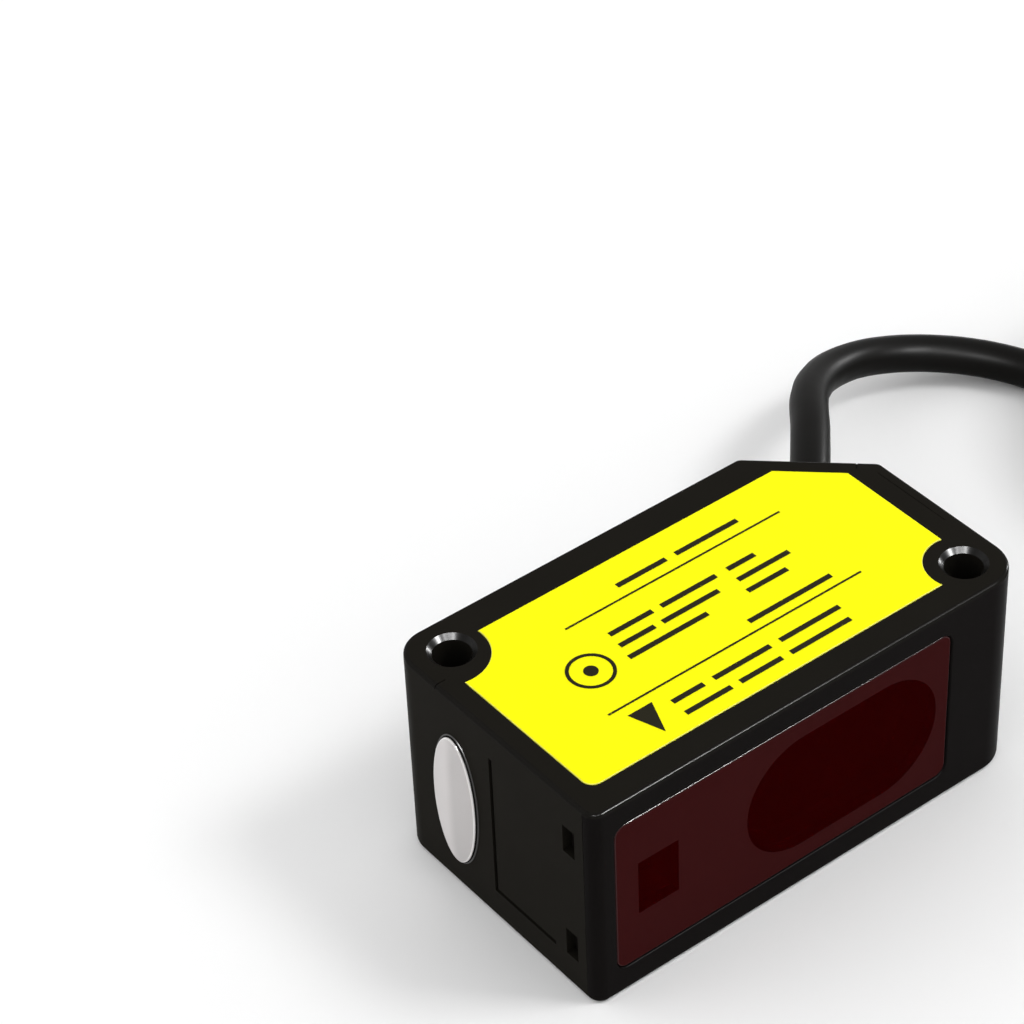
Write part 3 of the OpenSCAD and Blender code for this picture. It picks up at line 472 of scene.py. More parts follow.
@dataclass(frozen=True)
class Finish:
    """A moulded or printed finish: a tone with slight patches and a fine grain."""

    name: str
    colour: Colour
    roughness: float = 0.45
    metallic: float = 0.0
    specular: float = 0.5
    opacity: float = 1.0
    coat: float = 0.0
    tone: float = 0.12
    patch: float = 6.0
    depth: float = 0.004
    grain: float = 0.25

    def material(self) -> bpy.types.Material:
        """Returns the finish's material, made once."""
        return bpy.data.materials.get(self.name) or self.make()

    def make(self) -> bpy.types.Material:
        """Builds the material.

        Returns:
            The new material.
        """
        graph = Graph(self.name)
        wear = graph.noise(self.patch * 0.6)
        graph.feed(
            graph.shader,
            Base_Color=self.tint(graph),
            Metallic=self.metallic,
            Roughness=graph.ranged(wear, *(self.roughness * k for k in (1 - WEAR, 1 + WEAR))),
            Specular_IOR_Level=self.specular,
            Alpha=self.opacity,
            Coat_Weight=self.coat,
            Coat_Roughness=COAT_ROUGHNESS,
            Normal=graph.relief(self.surface(graph), self.depth),
        )
        return graph.material

    def shade(self, factor: float) -> Colour:
        """Returns the colour, darker or lighter by a factor."""
        return tuple(c * factor for c in self.colour)

    def tint(self, graph: Graph) -> Socket:
        """Returns the colour over the surface."""
        patches = graph.noise(self.patch)
        return graph.between(patches, self.shade(1 - self.tone), self.shade(1 + self.tone))

    def surface(self, graph: Graph) -> Socket:
        """Returns the height over the surface."""
        return graph.noise(self.grain, 2.0)

    def dress(self, piece: Piece) -> None:
        """Gives the finish to a piece, apart from faces that were painted.

        Args:
            piece: The piece.
        """
        if not piece.material_slots:
            piece.data.materials.append(self.material())
        piece.material_slots[0].material = self.material()

    def paint(self, piece: Piece) -> None:
        """Gives the finish to the selected faces of a piece in edit mode.

        Args:
            piece: The piece.
        """
        if not piece.material_slots:
            piece.data.materials.append(None)
        if self.name not in piece.data.materials:
            piece.data.materials.append(self.material())
        piece.active_material_index = piece.data.materials.find(self.name)
        bpy.ops.object.material_slot_assign()


@dataclass(frozen=True)
class Polished(Finish):
    """A polished pane, in which the grain is hardly felt."""

    depth: float = 0.0004
    grain: float = 4.0


@dataclass(frozen=True)
class Brushed(Finish):
    """A metal with fine drawn lines."""

    metallic: float = 1.0
    depth: float = 0.003
    grain: float = 0.1

    def surface(self, graph: Graph) -> Socket:
        """Returns the height over the surface."""
        return graph.noise(self.grain, 2.0, graph.mapped((0.08, 1.0, 1.0)))


@dataclass(frozen=True)
class Stranded(Finish):
    """Tinned strands laid side by side, with a slight twist."""

    metallic: float = 1.0
    depth: float = 0.03
    grain: float = 0.2

    def surface(self, graph: Graph) -> Socket:
        """Returns the height over the surface."""
        twisted = graph.mapped((1, 1, 1), (0, 20, 35))
        scale = 1 / (6 * self.grain * MM)
        return graph.add("TexWave", Vector=twisted, Scale=scale, Distortion=0.4).outputs["Fac"]


@dataclass(frozen=True)
class Laminate(Finish):
    """A circuit board: solder mask over tracks, seen square to the board."""

    def tint(self, graph: Graph) -> Socket:
        """Returns the colour over the surface."""
        node = graph.add(
            "TexBrick",
            Vector=graph.mapped((1, 1, 1), (90, 0, 0)),
            Color1=(*self.shade(0.9), 1),
            Color2=(*self.shade(1.05), 1),
            Mortar=(*self.shade(1.9), 1),
            Scale=1.0,
            Mortar_Size=0.11 * MM,
            Brick_Width=3.1 * MM,
            Row_Height=0.9 * MM,
        )
        return node.outputs["Color"]


@dataclass(frozen=True)
class Cores(Finish):
    """Five insulated cores beside each other, told apart by their height."""

    low: float = 6.0
    high: float = 14.0
    places: tuple[float, ...] = (0.0, 0.34, 0.45, 0.55, 0.66)

    def tint(self, graph: Graph) -> Socket:
        """Returns the colour over the surface."""
        stops = [(place, core.value[1].colour) for place, core in zip(self.places, Core)]
        return graph.ramp(graph.along(Axis.Z, self.low, self.high), stops, "CONSTANT")


@dataclass(frozen=True)
class MilkyPaintedShade(Finish):
    """A milky resin with painted shade: darker towards low Y and paler towards high Y, standing in for
    how light falls across the lens.
    """

    low: float = 2.0
    high: float = 7.2
    painted_dark_side: float = 0.92
    pale: float = 1.16

    def tint(self, graph: Graph) -> Socket:
        """Returns the colour over the surface."""
        # painted shade: the ramp darkens the lens towards low Y and lightens it towards high Y
        stops = ((0.42, self.shade(self.painted_dark_side)), (0.68, self.shade(self.pale)))
        return graph.ramp(graph.along(Axis.Y, self.low, self.high), stops, "EASE")


CASE = Finish("satin_case", (0.0108, 0.0097, 0.0077), 0.38, specular=0.007, depth=0.0015)
BEAD = Finish("lens_bead", (0.02, 0.019, 0.018), 0.38, specular=0.6, depth=0.0005, grain=2.0)
RIM = Finish("polished_rim", (0.006, 0.0056, 0.005), 0.27, specular=0.085, depth=0.0005, grain=2.0)
EDGE = Finish("smooth_edge", (0.009, 0.0082, 0.007), 0.19, specular=0.02, depth=0.0005, grain=2.0)
FRAME = Finish("satin_frame", (0.0062, 0.0053, 0.0051), 0.32, specular=0.008, depth=0.0008)
SEAL = Finish("soft_seal", (0.012, 0.012, 0.012), 0.8, specular=0.1)
MASK = Polished("red_mask", (0.034, 0.0052, 0.0054), 0.24, specular=0.004, tone=0.05)
PANE_EDGE = Polished("pane_edge", (0.034, 0.0075, 0.008), 0.18, specular=0.1, tone=0.05)
FILTER = Polished(
    "red_filter", (0.023, 0.0002, 0.0003), 0.2, specular=0.001, opacity=0.85, tone=0.03
)
FILM = Finish("label_film", (0.97, 0.94, 0.0), 0.45, specular=0.05, tone=0.012, depth=0.0012)
FILM_EDGE = Finish("film_edge", (0.86, 0.84, 0.2), 0.5, specular=0.03, tone=0.01, depth=0.0005)
INK = Finish("label_ink", (0.018, 0.016, 0.008), 0.5, specular=0.03, tone=0.1, depth=0.001)
# the milky lens carries painted shade: darker towards low Y, paler towards high Y
DIFFUSER = MilkyPaintedShade("milky_lens", (0.54, 0.515, 0.51), 0.22, specular=0.35, coat=0.3)
# painted highlight: the lens's rounded edge is given a paler colour than the lens, as a lighter rim
# line
LENS_EDGE_PAINTED_HIGHLIGHT = Finish("lens_edge_painted_highlight", (0.8, 0.78, 0.77), 0.15, specular=0.5, coat=0.5, tone=0.02)
# painted shade: the lens's upright wall is near black, as the shade in the gap round the lens
LENS_WALL_PAINTED_SHADE = Finish("lens_wall_painted_shade", (0.02, 0.019, 0.018), 0.2, specular=0.1, tone=0.04, depth=0.0005)
CLEAR = Finish("clear_stem", (0.75, 0.78, 0.8), 0.1, opacity=0.6, depth=0.0005)
LAMP_BODY = Finish("lamp_resin", (0.75, 0.7, 0.5), 0.3)
SMOKED = Polished(
    "smoked_sheet", (0.019, 0.0185, 0.0195), 0.14, specular=0.02, opacity=0.45, tone=0.04
)
RED_LAMP = Finish("red_lamp", (0.62, 0.012, 0.018), 0.2, specular=0.4, tone=0.08, depth=0.0006)
GREEN_LAMP = Finish("green_lamp", (0.04, 0.6, 0.05), 0.2, specular=0.4, tone=0.08, depth=0.0006)
PANEL_INK = Finish("panel_ink", (0.55, 0.55, 0.56), 0.45, specular=0.3, tone=0.05, depth=0.001)
KEY = Finish("key_cap", (0.56, 0.57, 0.6), 0.4, specular=0.35, tone=0.05, depth=0.0015)
KEY_INK = Finish("key_sign", (0.015, 0.015, 0.017), 0.5, specular=0.2, depth=0.001)
STEM = Finish("key_stem", (0.02, 0.02, 0.02), 0.5, specular=0.3)
SWITCH = Brushed("switch_cover", (0.55, 0.55, 0.54), 0.35, grain=0.15)
BLOCK = Finish("display_block", (0.008, 0.008, 0.0085), 0.5, specular=0.15, tone=0.08)
SEGMENT = Finish("unlit_segment", (0.18, 0.178, 0.19), 0.4, specular=0.1, tone=0.06)
BOARD = Laminate("solder_mask", (0.012, 0.1, 0.045), 0.35, coat=0.3, depth=0.006, grain=0.5)
CHIP = Finish("chip_resin", (0.018, 0.018, 0.019), 0.55, specular=0.3, depth=0.006, grain=0.12)
SOCKET = Finish("socket_cream", (0.7, 0.65, 0.5), 0.45)
CHASSIS = Finish("matte_chassis", (0.06, 0.024, 0.024), 0.75, specular=0.02, tone=0.05)
STEEL = Brushed("drawn_steel", (0.6, 0.6, 0.61), 0.28)
GOLD = Brushed("gilt_can", (0.78, 0.56, 0.22), 0.22, depth=0.001)
BRASS = Brushed("turned_brass", (0.7, 0.5, 0.2), 0.3)
GLASS = Polished("clear_glass", (0.01, 0.01, 0.012), 0.05, specular=0.03, opacity=0.4, depth=0.0002)
LENS = Polished("clear_lens", (0.006, 0.001, 0.001), 0.1, specular=0.02, opacity=0.6, depth=0.0002)
CHIP_GLASS = Finish("sensor_glass", (0.03, 0.03, 0.045), 0.08, coat=0.5, depth=0.0002)
BOOT = Finish("soft_boot", (0.009, 0.0085, 0.008), 0.5, specular=0.03, depth=0.005, grain=0.3)
JACKET = Finish("cable_jacket", (0.0075, 0.0071, 0.0065), 0.4, specular=0.025, depth=0.005, grain=0.5)
TIE = Finish("tie_strip", (0.013, 0.013, 0.0135), 0.45, specular=0.07, depth=0.01, grain=0.6)
TINNED = Stranded("tinned_strands", (0.7, 0.7, 0.71), 0.25)


def core_finish(name: str, colour: Colour) -> Finish:
    """Returns the finish of one insulated core."""
    return Finish(f"{name}_insulation", colour, 0.45, specular=0.1, depth=0.003, grain=0.3)


class Core(Enum):
    """The five cores of the cable: their place in the row, and their insulation."""

    BROWN = (0, core_finish("brown", (0.13, 0.05, 0.02)))
    BLUE = (1, core_finish("blue", (0.015, 0.09, 0.42)))
    BLACK = (2, core_finish("black", (0.012, 0.012, 0.012)))
    WHITE = (3, core_finish("white", (0.76, 0.76, 0.74)))
    GREY = (4, core_finish("grey", (0.22, 0.22, 0.22)))


INNER_CORES = Cores("inner_cores", (0.3, 0.3, 0.3), 0.4, specular=0.35)


@dataclass
class Studio:
    """The camera, the lamps, the world and the pale floor, in metres."""

    lens: float = 124.346
    eye: Point = (-0.134708, -0.158419, 0.201633)
    right: Point = (0.787601, -0.615045, -0.037464)
    up: Point = (0.414854, 0.484325, 0.770277)
    back: Point = (-0.45561, -0.622213, 0.636608)
    ambient: float = 0.78
    floor_tone: float = 0.96
    floor_size: float = 6.0
    floor_drop: float = 0.0001
    lamps: tuple[tuple[str, Point, float, float, float], ...] = (
        ("key_lamp", (0.5, -0.42, 0.8), 1.1, 0.3, 3.6),
        ("fill_lamp", (-0.75, 0.75, 0.7), 1.2, 0.8, 2.0),
    )
    glint_far: float = 1.1
    glint_side: float = 0.16
    glints: tuple[tuple[str, Point, float], ...] = (
        ("right_glint", (0.4, -0.66, 0.65), 60),
        ("left_glint", (-0.48, -0.43, 0.77), 25),
        ("corner_glint", (-0.29, -0.57, 0.75), 14),
        ("front_glint", (-0.06, -0.68, 0.73), 18),
        ("side_glint", (1.0, 0.03, 0.16), 10),
    )

    def build(self) -> None:
        """Sets up the whole studio."""
        self.camera()
        self.world()
        for lamp in self.lamps:
            self.lamp(*lamp)
        for name, way, power in self.glints:
            glint = self.lamp(name, way, self.glint_far, self.glint_side, power)
            glint.visible_diffuse = False
        self.floor()
        bpy.context.scene.view_settings.view_transform = "Standard"
        log.info("studio: camera, lamps, world and floor")

    def camera(self) -> None:
        """Adds the camera at the photograph's viewing angle."""
        data = bpy.data.cameras.new("camera")
        data.lens = self.lens
        data.sensor_width = 36
        data.clip_start = 0.01
        data.clip_end = 20
        camera = bpy.data.objects.new("camera", data)
        bpy.context.scene.collection.objects.link(camera)
        turn = Matrix((self.right, self.up, self.back)).transposed()
        camera.matrix_world = Matrix.LocRotScale(Vector(self.eye), turn.to_quaternion(), None)
        bpy.context.scene.camera = camera

    def world(self) -> None:
        """Makes a world that is white to the eye and lights the object softly."""
        world = bpy.data.worlds.new("soft_world")
        bpy.context.scene.world = world
        world.use_nodes = True
        nodes, links = world.node_tree.nodes, world.node_tree.links
        nodes.clear()
        path = nodes.new("ShaderNodeLightPath")
        seen = path.outputs["Is Camera Ray"]
        for name in ("Is Glossy Ray", "Is Transmission Ray"):
            node = nodes.new("ShaderNodeMath")
            node.operation = "MAXIMUM"
            links.new(seen, node.inputs[0])
            links.new(path.outputs[name], node.inputs[1])
            seen = node.outputs[0]
        mix = nodes.new("ShaderNodeMixShader")
        links.new(seen, mix.inputs[0])
        for entry, strength in zip(mix.inputs[1:], (self.ambient, 1.0)):
            light = nodes.new("ShaderNodeBackground")
            light.inputs["Color"].default_value = (1, 1, 1, 1)
            light.inputs["Strength"].default_value = strength
            links.new(light.outputs[0], entry)
        out = nodes.new("ShaderNodeOutputWorld")
        links.new(mix.outputs[0], out.inputs[0])

    @staticmethod
    def lamp(name: str, way: Point, far: float, size: float, power: float) -> Piece:
        """Adds a soft square lamp that faces the object.

        Args:
            name: The lamp's name.
            way: The direction from the object to the lamp.
            far: Its distance, in metres.
            size: The length of its side, in metres.
            power: Its power, in watts.

        Returns:
            The lamp.
        """
        data = bpy.data.lights.new(name, "AREA")
        data.shape = "SQUARE"
        data.size = size
        data.energy = power
        lamp = bpy.data.objects.new(name, data)
        bpy.context.scene.collection.objects.link(lamp)
        aim = Vector(way).normalized()
        lamp.location = aim * far
        lamp.rotation_euler = aim.to_track_quat("Z", "Y").to_euler()
        return lamp

    def floor(self) -> None:
        """Adds the plain pale floor."""
        bpy.ops.object.select_all(action="DESELECT")
        bpy.ops.mesh.primitive_plane_add(size=self.floor_size, location=(0, 0, -self.floor_drop))
        floor = bpy.context.object
        floor.name = "floor"
        graph = Graph("pale_floor")
        tones = [(tone, tone, tone) for tone in (self.floor_tone, self.floor_tone + 0.01)]
        graph.feed(
            graph.shader,
            Base_Color=graph.between(graph.noise(400), *tones),
            Roughness=0.9,
            Specular_IOR_Level=0.05,
        )
        floor.data.materials.append(graph.material)


@dataclass
class Cable:
    """The free cable: a lead to the coil, the coil, a tail, and five bare cores.

    Lengths are in millimetres. The jacket's sizes come first, then the coil's and the cores'.
    """

    diameter: float = 3.5
    full_length: float = 2000.0
    exit: Point = (19.0332, 9.8612, 10.0)
    way_out: Point = (0.68507, 0.72848, 0.0)
    middle: tuple[float, float] = (78.0, -6.0)
    radius: float = 26.1
    pitch: float = 3.55
    turns: float = 3.6
    levels: int = 4
    start: float = 160.0
    climb: float = 90.0
    climb_steps: int = 6
    steps: int = 24
    core: float = 1.0
    core_length: float = 40.0
    core_steps: int = 18
    core_ring: float = 1.1
    core_seats: tuple[float, ...] = (162, 234, 90, 306, 18)
    spread: float = 2.4

    LEAD = (
        (26, 17.3, 9.9), (30.2, 22, 9.3), (33.9, 26.2, 8.1), (38.4, 29.4, 6.4),
        (44, 30.8, 4.6), (49.6, 29.8, 3.1), (54.3, 26.6, 2.2), (57.4, 21.8, 1.8),
        (58.4, 16, 1.75), (57.2, 9.6, 1.75),
    )
    TAIL = (
        (59, -24.4, 12.2), (62.9, -28.6, 11.3), (68.4, -32.5, 9.5), (75, -35.1, 7.2),
        (82.2, -35.8, 4.9), (89.5, -34.5, 3.1), (96.6, -31.6, 2.1), (101.6, -27.9, 1.75),
        (105.2, -21.8, 1.75),
    )

    def build(self) -> None:
        route = self.lead() + self.coil() + self.tail()
        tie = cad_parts["coil_tie"]
        TIE.dress(tie)
        jacket = self.tube("cable_jacket_run", route, self.diameter)
        Bench.settle(
            jacket, JACKET, "cable_black", stands_for=("cable", "cable_coil", "cable_tail")
        )
        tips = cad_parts["lead_tips"]
        TINNED.dress(tips)
        for core in Core:
            self.bare_core(core)
        log.info("cable: %d points on its way", len(route))

    def bare_core(self, core: Core) -> None:
        """Makes one bare core at the far end.

        Args:
            core: Which core it is.
        """
        place, finish = core.value
        name = core.name.lower()
        steps = self.core_steps
        way = [self.core_point(place, k / steps) for k in range(steps + 1)]
        wire = self.tube(f"wire_{name}", way, self.core)
        Bench.settle(wire, finish, f"core_{name}", stands_for=(f"lead_{name}",))
        self.length(way) * MM

    @staticmethod
    def length(way: Sequence[Vector]) -> float:
        """Returns the length of a way through points."""
        return sum((b - a).length for a, b in zip(way, way[1:]))

    @staticmethod
    def tube(name: str, way: Sequence[Vector], diameter: float) -> Piece:
        """Makes a round tube along points.

        Args:
            name: The piece's name.
            way: The points, in millimetres.
            diameter: The tube's diameter, in millimetres.

        Returns:
            A curve of one open spline.
        """
        curve = bpy.data.curves.new(name, "CURVE")
        curve.dimensions = "3D"
        curve.resolution_u = 3
        curve.bevel_depth = diameter * MM / 2
        curve.bevel_resolution = 5
        curve.use_fill_caps = True
        spline = curve.splines.new("BEZIER")
        spline.bezier_points.add(len(way) - 1)
        for knot, point in zip(spline.bezier_points, way):
            knot.co = Vector(point) * MM
            knot.handle_left_type = knot.handle_right_type = "AUTO"
        piece = bpy.data.objects.new(name, curve)
        bpy.context.scene.collection.objects.link(piece)
        return piece

    @staticmethod
    def halved(way: Sequence[Sequence[float]]) -> list[Vector]:
        """Adds a point midway along each stretch, on one smooth curve.

        Args:
            way: The given points.

        Returns:
            About twice as many points.
        """
        p = [Vector(v) for v in way]
        p = [2 * p[0] - p[1], *p, 2 * p[-1] - p[-2]]
        fine: list[Vector] = []
        for a, b, c, d in zip(p, p[1:], p[2:], p[3:]):
            fine += [b, (9 * (b + c) - a - d) / 16]
        return [*fine, p[-2]]

    def on_coil(self, angle: float, radius: float, height: float) -> Vector:
        """Returns the point of the coil at an angle, a radius and a height."""
        turn, (x, y) = math.radians(angle), self.middle
        return Vector((x + radius * math.cos(turn), y + radius * math.sin(turn), height))

    def lead(self) -> list[Vector]:
        """Returns the points from the boot to the coil, without the coil's first."""
        exit_point = Vector(self.exit)
        second = exit_point + 3.5 * Vector(self.way_out)
        first = self.on_coil(self.start, self.radius, self.diameter / 2)
        return self.halved([exit_point, second, *self.LEAD, first])[:-1]

    def coil(self) -> list[Vector]:
        """Returns the points of the coil: flat spirals on each other, in and out by turns."""
        inner = self.radius - self.pitch * self.turns
        points, angle, height = [], self.start, self.diameter / 2
        steps = round(self.turns * self.steps)
        for level in range(self.levels):
            ends = (self.radius, inner) if level % 2 == 0 else (inner, self.radius)
            for k in range(steps + 1):
                share = k / steps
                radius = ends[0] + (ends[1] - ends[0]) * share
                points.append(self.on_coil(angle + share * self.turns * 360, radius, height))
            angle += self.turns * 360
            if level < self.levels - 1:
                for k in range(1, self.climb_steps):
                    share = k / self.climb_steps
                    rise = self.pitch * self.smooth(share)
                    points.append(
                        self.on_coil(angle + self.climb * share, ends[1], height + rise)
                    )
                angle += self.climb
                height += self.pitch
        return points

    def tail(self) -> list[Vector]:
        """Returns the points from the coil to the end of the jacket, without the coil's last."""
        return self.halved([self.coil()[-1], *self.TAIL])[1:]

    @staticmethod
    def smooth(share: float) -> float:
        """Returns a share that starts and ends gently."""
        return share * share * (3 - 2 * share)

    def core_point(self, place: int, share: float) -> Vector:
        """Finds a point of a bare core.

        Args:
            place: The core's place in the row.
            share: How far along the core the point lies, from 0 to 1.

        Returns:
            The point.
        """
        tip = Vector(self.TAIL[-1])
        arm = Vector((tip.x - self.middle[0], tip.y - self.middle[1]))
        seat = math.radians(self.core_seats[place])
        angle = math.degrees(math.atan2(arm.y, arm.x) + share * self.core_length / arm.length)
        ease = self.smooth(min(1, share * 1.6))
        bundled = self.core_ring * math.cos(seat)
        radius = arm.length + (1 - ease) * bundled + ease * (place - 0.8) * self.spread
        drop = self.smooth(min(1, share * 2.5))
        bundled = tip.z + self.core_ring * math.sin(seat)
        height = (1 - drop) * bundled + drop * self.core / 2
        return self.on_coil(angle, radius, height)


@dataclass(frozen=True)
class Slant:
    """The chamfer between the cable end and the display face."""

    along: float = 8.4
    across: float = 7.9
    middle: tuple[float, float] = (17.8, 8.55)

    @property
    def normal(self) -> Vector:
        """The way out of the chamfer."""
        return Vector((self.across, self.along, 0)).normalized()

    def inset(self, depth: float) -> Vector:
        """Returns the chamfer's middle, moved into the case."""
        return Vector((*self.middle, 0)) - depth * self.normal

    def place(self, piece: Piece) -> Piece:
        """Turns a piece from the X direction to the chamfer's own.

        Args:
            piece: The piece, modelled with X pointing out of the chamfer.

        Returns:
            The same piece.
        """
        Bench.take(piece)
        piece.rotation_euler = (0, 0, math.atan2(self.along, self.across))
        piece.location = (*self.middle, 0)
        bpy.ops.object.transform_apply()
        return piece


@dataclass
class Housing:
    """Case, lid, window frame, window and label, with the boxes that are cut out of them."""

    length: float = 44.0
    width: float = 25.0
    height: float = 20.0
    wall: float = 1.5
    lid: float = 1.2
    fillet: float = 0.35
    seam_bevel: float = 0.05
    frame_plane: float = -11.3
    front_plane: float = -10.1
    hole: float = 1.6
    rim: float = 0.4
    boss: float = 3.0
    holes: tuple[tuple[float, float], ...] = ((-18.5, 9.0), (18.5, -9.0))
    slots: tuple[float, float] = (4.5, 15.5)
    slot: Box = ((-22.5, -10.25, -1.35), (-20, -8.85, 1.35))
    hook_way: Box = ((-20.8, -12.5, -1.35), (-19.8, -8.7, 1.35))
    hook_leg: Box = ((-20.65, -11.3, -1.2), (-19.95, -9, 1.2))
    hook_barb: Box = ((-21.3, -10.1, -1.2), (-20.6, -9, 1.2))
    key_way: Box = ((-2.8, 10, 13.075), (2.8, 12.5, 17.325))
    front_gap: Box = ((-18.9, -12, 3.5), (13.1, -9, 16.5))
    long_leg: Box = ((-22.5, -0.3, 2.9), (-21.7, 0.1, 17.1))
    short_leg: Box = ((-22.5, -7.5, 2.9), (-21.7, 0.1, 3.3))
    sheet_seat: Box = ((-18.4, 11.7, 0.8), (12.8, 13.5, 18))
    display_way: Box = ((-15, 10.5, 2.3), (9, 12.5, 12.525))
    lens_way: Box = ((-23, 1.9, 2.8), (-20, 7.3, 16))
    lens_bead: Box = ((-22.08, 1.78, 2.68), (-21.9, 7.42, 16.12))
    lid_slit: Box = ((-22.5, 6.54, 19.6), (-20.95, 6.64, 20.5))
    lid_scribe: Box = ((20.95, -4.2, 19.95), (21.02, 3.7, 20.5))
    slant_slit: Box = ((-0.9, -4, 19.75), (0.5, -3.88, 20.5))
    pane_way: Box = ((-19.96, -13, 2.44), (14.16, -11, 17.56))
    pane_box: Box = ((-19.9, -12.4, 2.5), (14.1, -11.5, 17.5))
    beam_way: Box = ((-17.7, -13, 7.35), (-13.75, -11, 12.65))
    view_way: Box = ((-6.9, -13, 4.3), (12.8, -11, 15.7))
    label_hollows: tuple[tuple[Point, float], ...] = (
        ((-19.3, 9, 20), 3.7), ((18.5, -9, 20), 3.25),
    )
    label_low: tuple[float, float] = (-20, -9.85)
    label_high: tuple[float, float] = (19.1, 9.43)
    label_base: float = 19.9
    label_face: float = 20.05
    slant: Slant = Slant()

    def build(self) -> None:
        """Makes the five outer pieces."""
        blank = self.blank()
        self.case(Bench.copy(blank, "case_shell"))
        self.cover(Bench.copy(blank, "case_lid"))
        self.window_frame(blank)
        self.pane()
        self.label()

    def blank(self) -> Piece:
        """Shapes the whole outer block, with its chamfer, corners and broken edges.

        Returns:
            The block that case, lid and frame are cut from.
        """
        x, y = self.length / 2, self.width / 2
        piece = Bench.block("window_frame", (-x, -y, 0), (x, y, self.height))
        Bench.slice_off(piece, self.slant.inset(0), self.slant.normal)
        # each corner's place, how far its round reaches, and its number of faces
        corners = (
            (-x, -y, 1.1, 8),
            (x, -y, 3.4, 14),
            (-x, y, 2.8, 12),
            (x, y - self.slant.across, 0.3, 3),
            (x - self.slant.along, y, 0.28, 3),
        )
        for cx, cy, reach, steps in corners:
            Bench.round_edges(piece, self.upright(cx, cy), reach, steps)
        for z in (self.height, 0):
            Bench.round_edges(piece, Bench.level(Axis.Z, z), self.fillet, 4, EDGE)
        return piece

    @staticmethod
    def upright(x: float, y: float) -> EdgeTest:
        """Returns a test for the upright edge at a corner."""
        return lambda a, b: abs(a.z - b.z) > 0.1 and all(
            math.hypot(v.x - x, v.y - y) < 0.01 for v in (a, b)
        )

    def drill(self, piece: Piece, face: float) -> None:
        """Drills the two mounting holes and rounds their rims.

        Args:
            piece: The piece that the holes pass through.
            face: The height of the face that has the rims.
        """
        for x, y in self.holes:
            Bench.carve(piece, Bench.rod("drill", (x, y, self.height / 2), self.hole, 30))
        centres = [Vector(h) for h in self.holes]

        def on_rim(a: Vector, b: Vector) -> bool:
            """Tells whether an edge lies on the rim of a hole."""
            return all(
                abs(v.z - face) < 0.01
                and min(abs((v.xy - c).length - self.hole) for c in centres) < 0.02
                for v in (a, b)
            )

        Bench.round_edges(piece, on_rim, self.rim, 1, RIM)

    def cavity(self) -> Piece:
        """Shapes the space inside the case, clear of the bosses.

        Returns:
            The tool that hollows the case.
        """
        x, y = self.length / 2 - self.wall, self.width / 2 - self.wall
        tool = Bench.block("cavity", (-x, self.front_plane, self.wall), (x, y, self.height + 1))
        Bench.slice_off(tool, self.slant.inset(self.wall), self.slant.normal)
        Bench.round_edges(tool, self.upright(-x, y), 1.3, 6)
        for hx, hy in self.holes:
            Bench.carve(tool, Bench.rod("boss", (hx, hy, 10), self.boss, 40))
        return tool

    def case(self, piece: Piece) -> None:
        """Cuts the case out of the block and hollows it.

        Args:
            piece: A copy of the block.
        """
        top = self.height - self.lid
        Bench.slice_off(piece, (0, 0, top), (0, 0, 1))
        Bench.slice_off(piece, (0, self.frame_plane, 0), (0, -1, 0))
        Bench.carve(piece, self.cavity())
        Bench.carve(piece, Bench.slab("gap", *self.front_gap, Axis.Y, 1))
        for z in self.slots:
            Bench.carve(
                piece,
                Bench.block("slot", *Bench.moved(self.slot, z=z)),
                Bench.block("hook_way", *Bench.moved(self.hook_way, z=z)),
            )
        Bench.carve(
            piece,
            Bench.oval("lens_way", *self.lens_way),
            Bench.block("long_leg", *self.long_leg),
            Bench.block("short_leg", *self.short_leg),
            Bench.slab("sheet_seat", *self.sheet_seat, Axis.Y, 0.6),
            Bench.block("display_way", *self.display_way),
            self.slant.place(Bench.rod("boot_way", (-1, 0, 10), 3.0, 6, Axis.X)),
        )
        for x in KEY_PLACES:
            way = Bench.moved(self.key_way, x=x)
            Bench.carve(piece, Bench.slab("key_way", *way, Axis.Y, 0.5))
        self.drill(piece, 0.0)
        Bench.round_edges(piece, self.seam, self.seam_bevel, 1)
        bead = Bench.oval("bead", *self.lens_bead)
        Bench.round_edges(bead, Bench.level(Axis.X, self.lens_bead[0][0]), 0.05, 2)
        Bench.carve(bead, Bench.oval("bead_way", *self.lens_way))
        Bench.paint_faces(bead, lambda face: True, BEAD)
        Bench.join(piece, bead)
        Bench.settle(piece, CASE, "case_black", stands_for=("main_case",))

    def seam(self, a: Vector, b: Vector) -> bool:
        """Tells whether an edge lies on the outer joint between case and window frame.

        Args:
            a: One end of the edge.
            b: Its other end.

        Returns:
            True on the outside and below the lid.
        """
        x = self.length / 2
        on_joint = Bench.level(Axis.Y, self.frame_plane)(a, b)
        middle = (a + b) / 2
        outside = (
            middle.z < self.fillet + 0.02
            or abs(middle.x + x) < self.fillet + 0.02
            or middle.x > x - 1.2
        )
        return on_joint and outside and middle.z < self.height - self.lid - 0.1

    def cover(self, piece: Piece) -> None:
        """Cuts the lid out of the block, with the label's seat, two slits and a scribed line.

        Args:
            piece: A copy of the block.
        """
        top = self.height - self.lid
        Bench.slice_off(piece, (0, 0, top), (0, 0, -1))
        Bench.slice_off(piece, (0, self.frame_plane, 0), (0, -1, 0))
        Bench.carve(piece, self.label_blank("seat", 0.05, self.height + 1))
        self.drill(piece, self.height)
        Bench.carve(
            piece,
            Bench.block("slit", *self.lid_slit),
            Bench.block("scribe", *self.lid_scribe),
            self.slant.place(Bench.block("slit", *self.slant_slit)),
        )
        Bench.settle(piece, CASE, "cover_black", stands_for=("side_cover",))

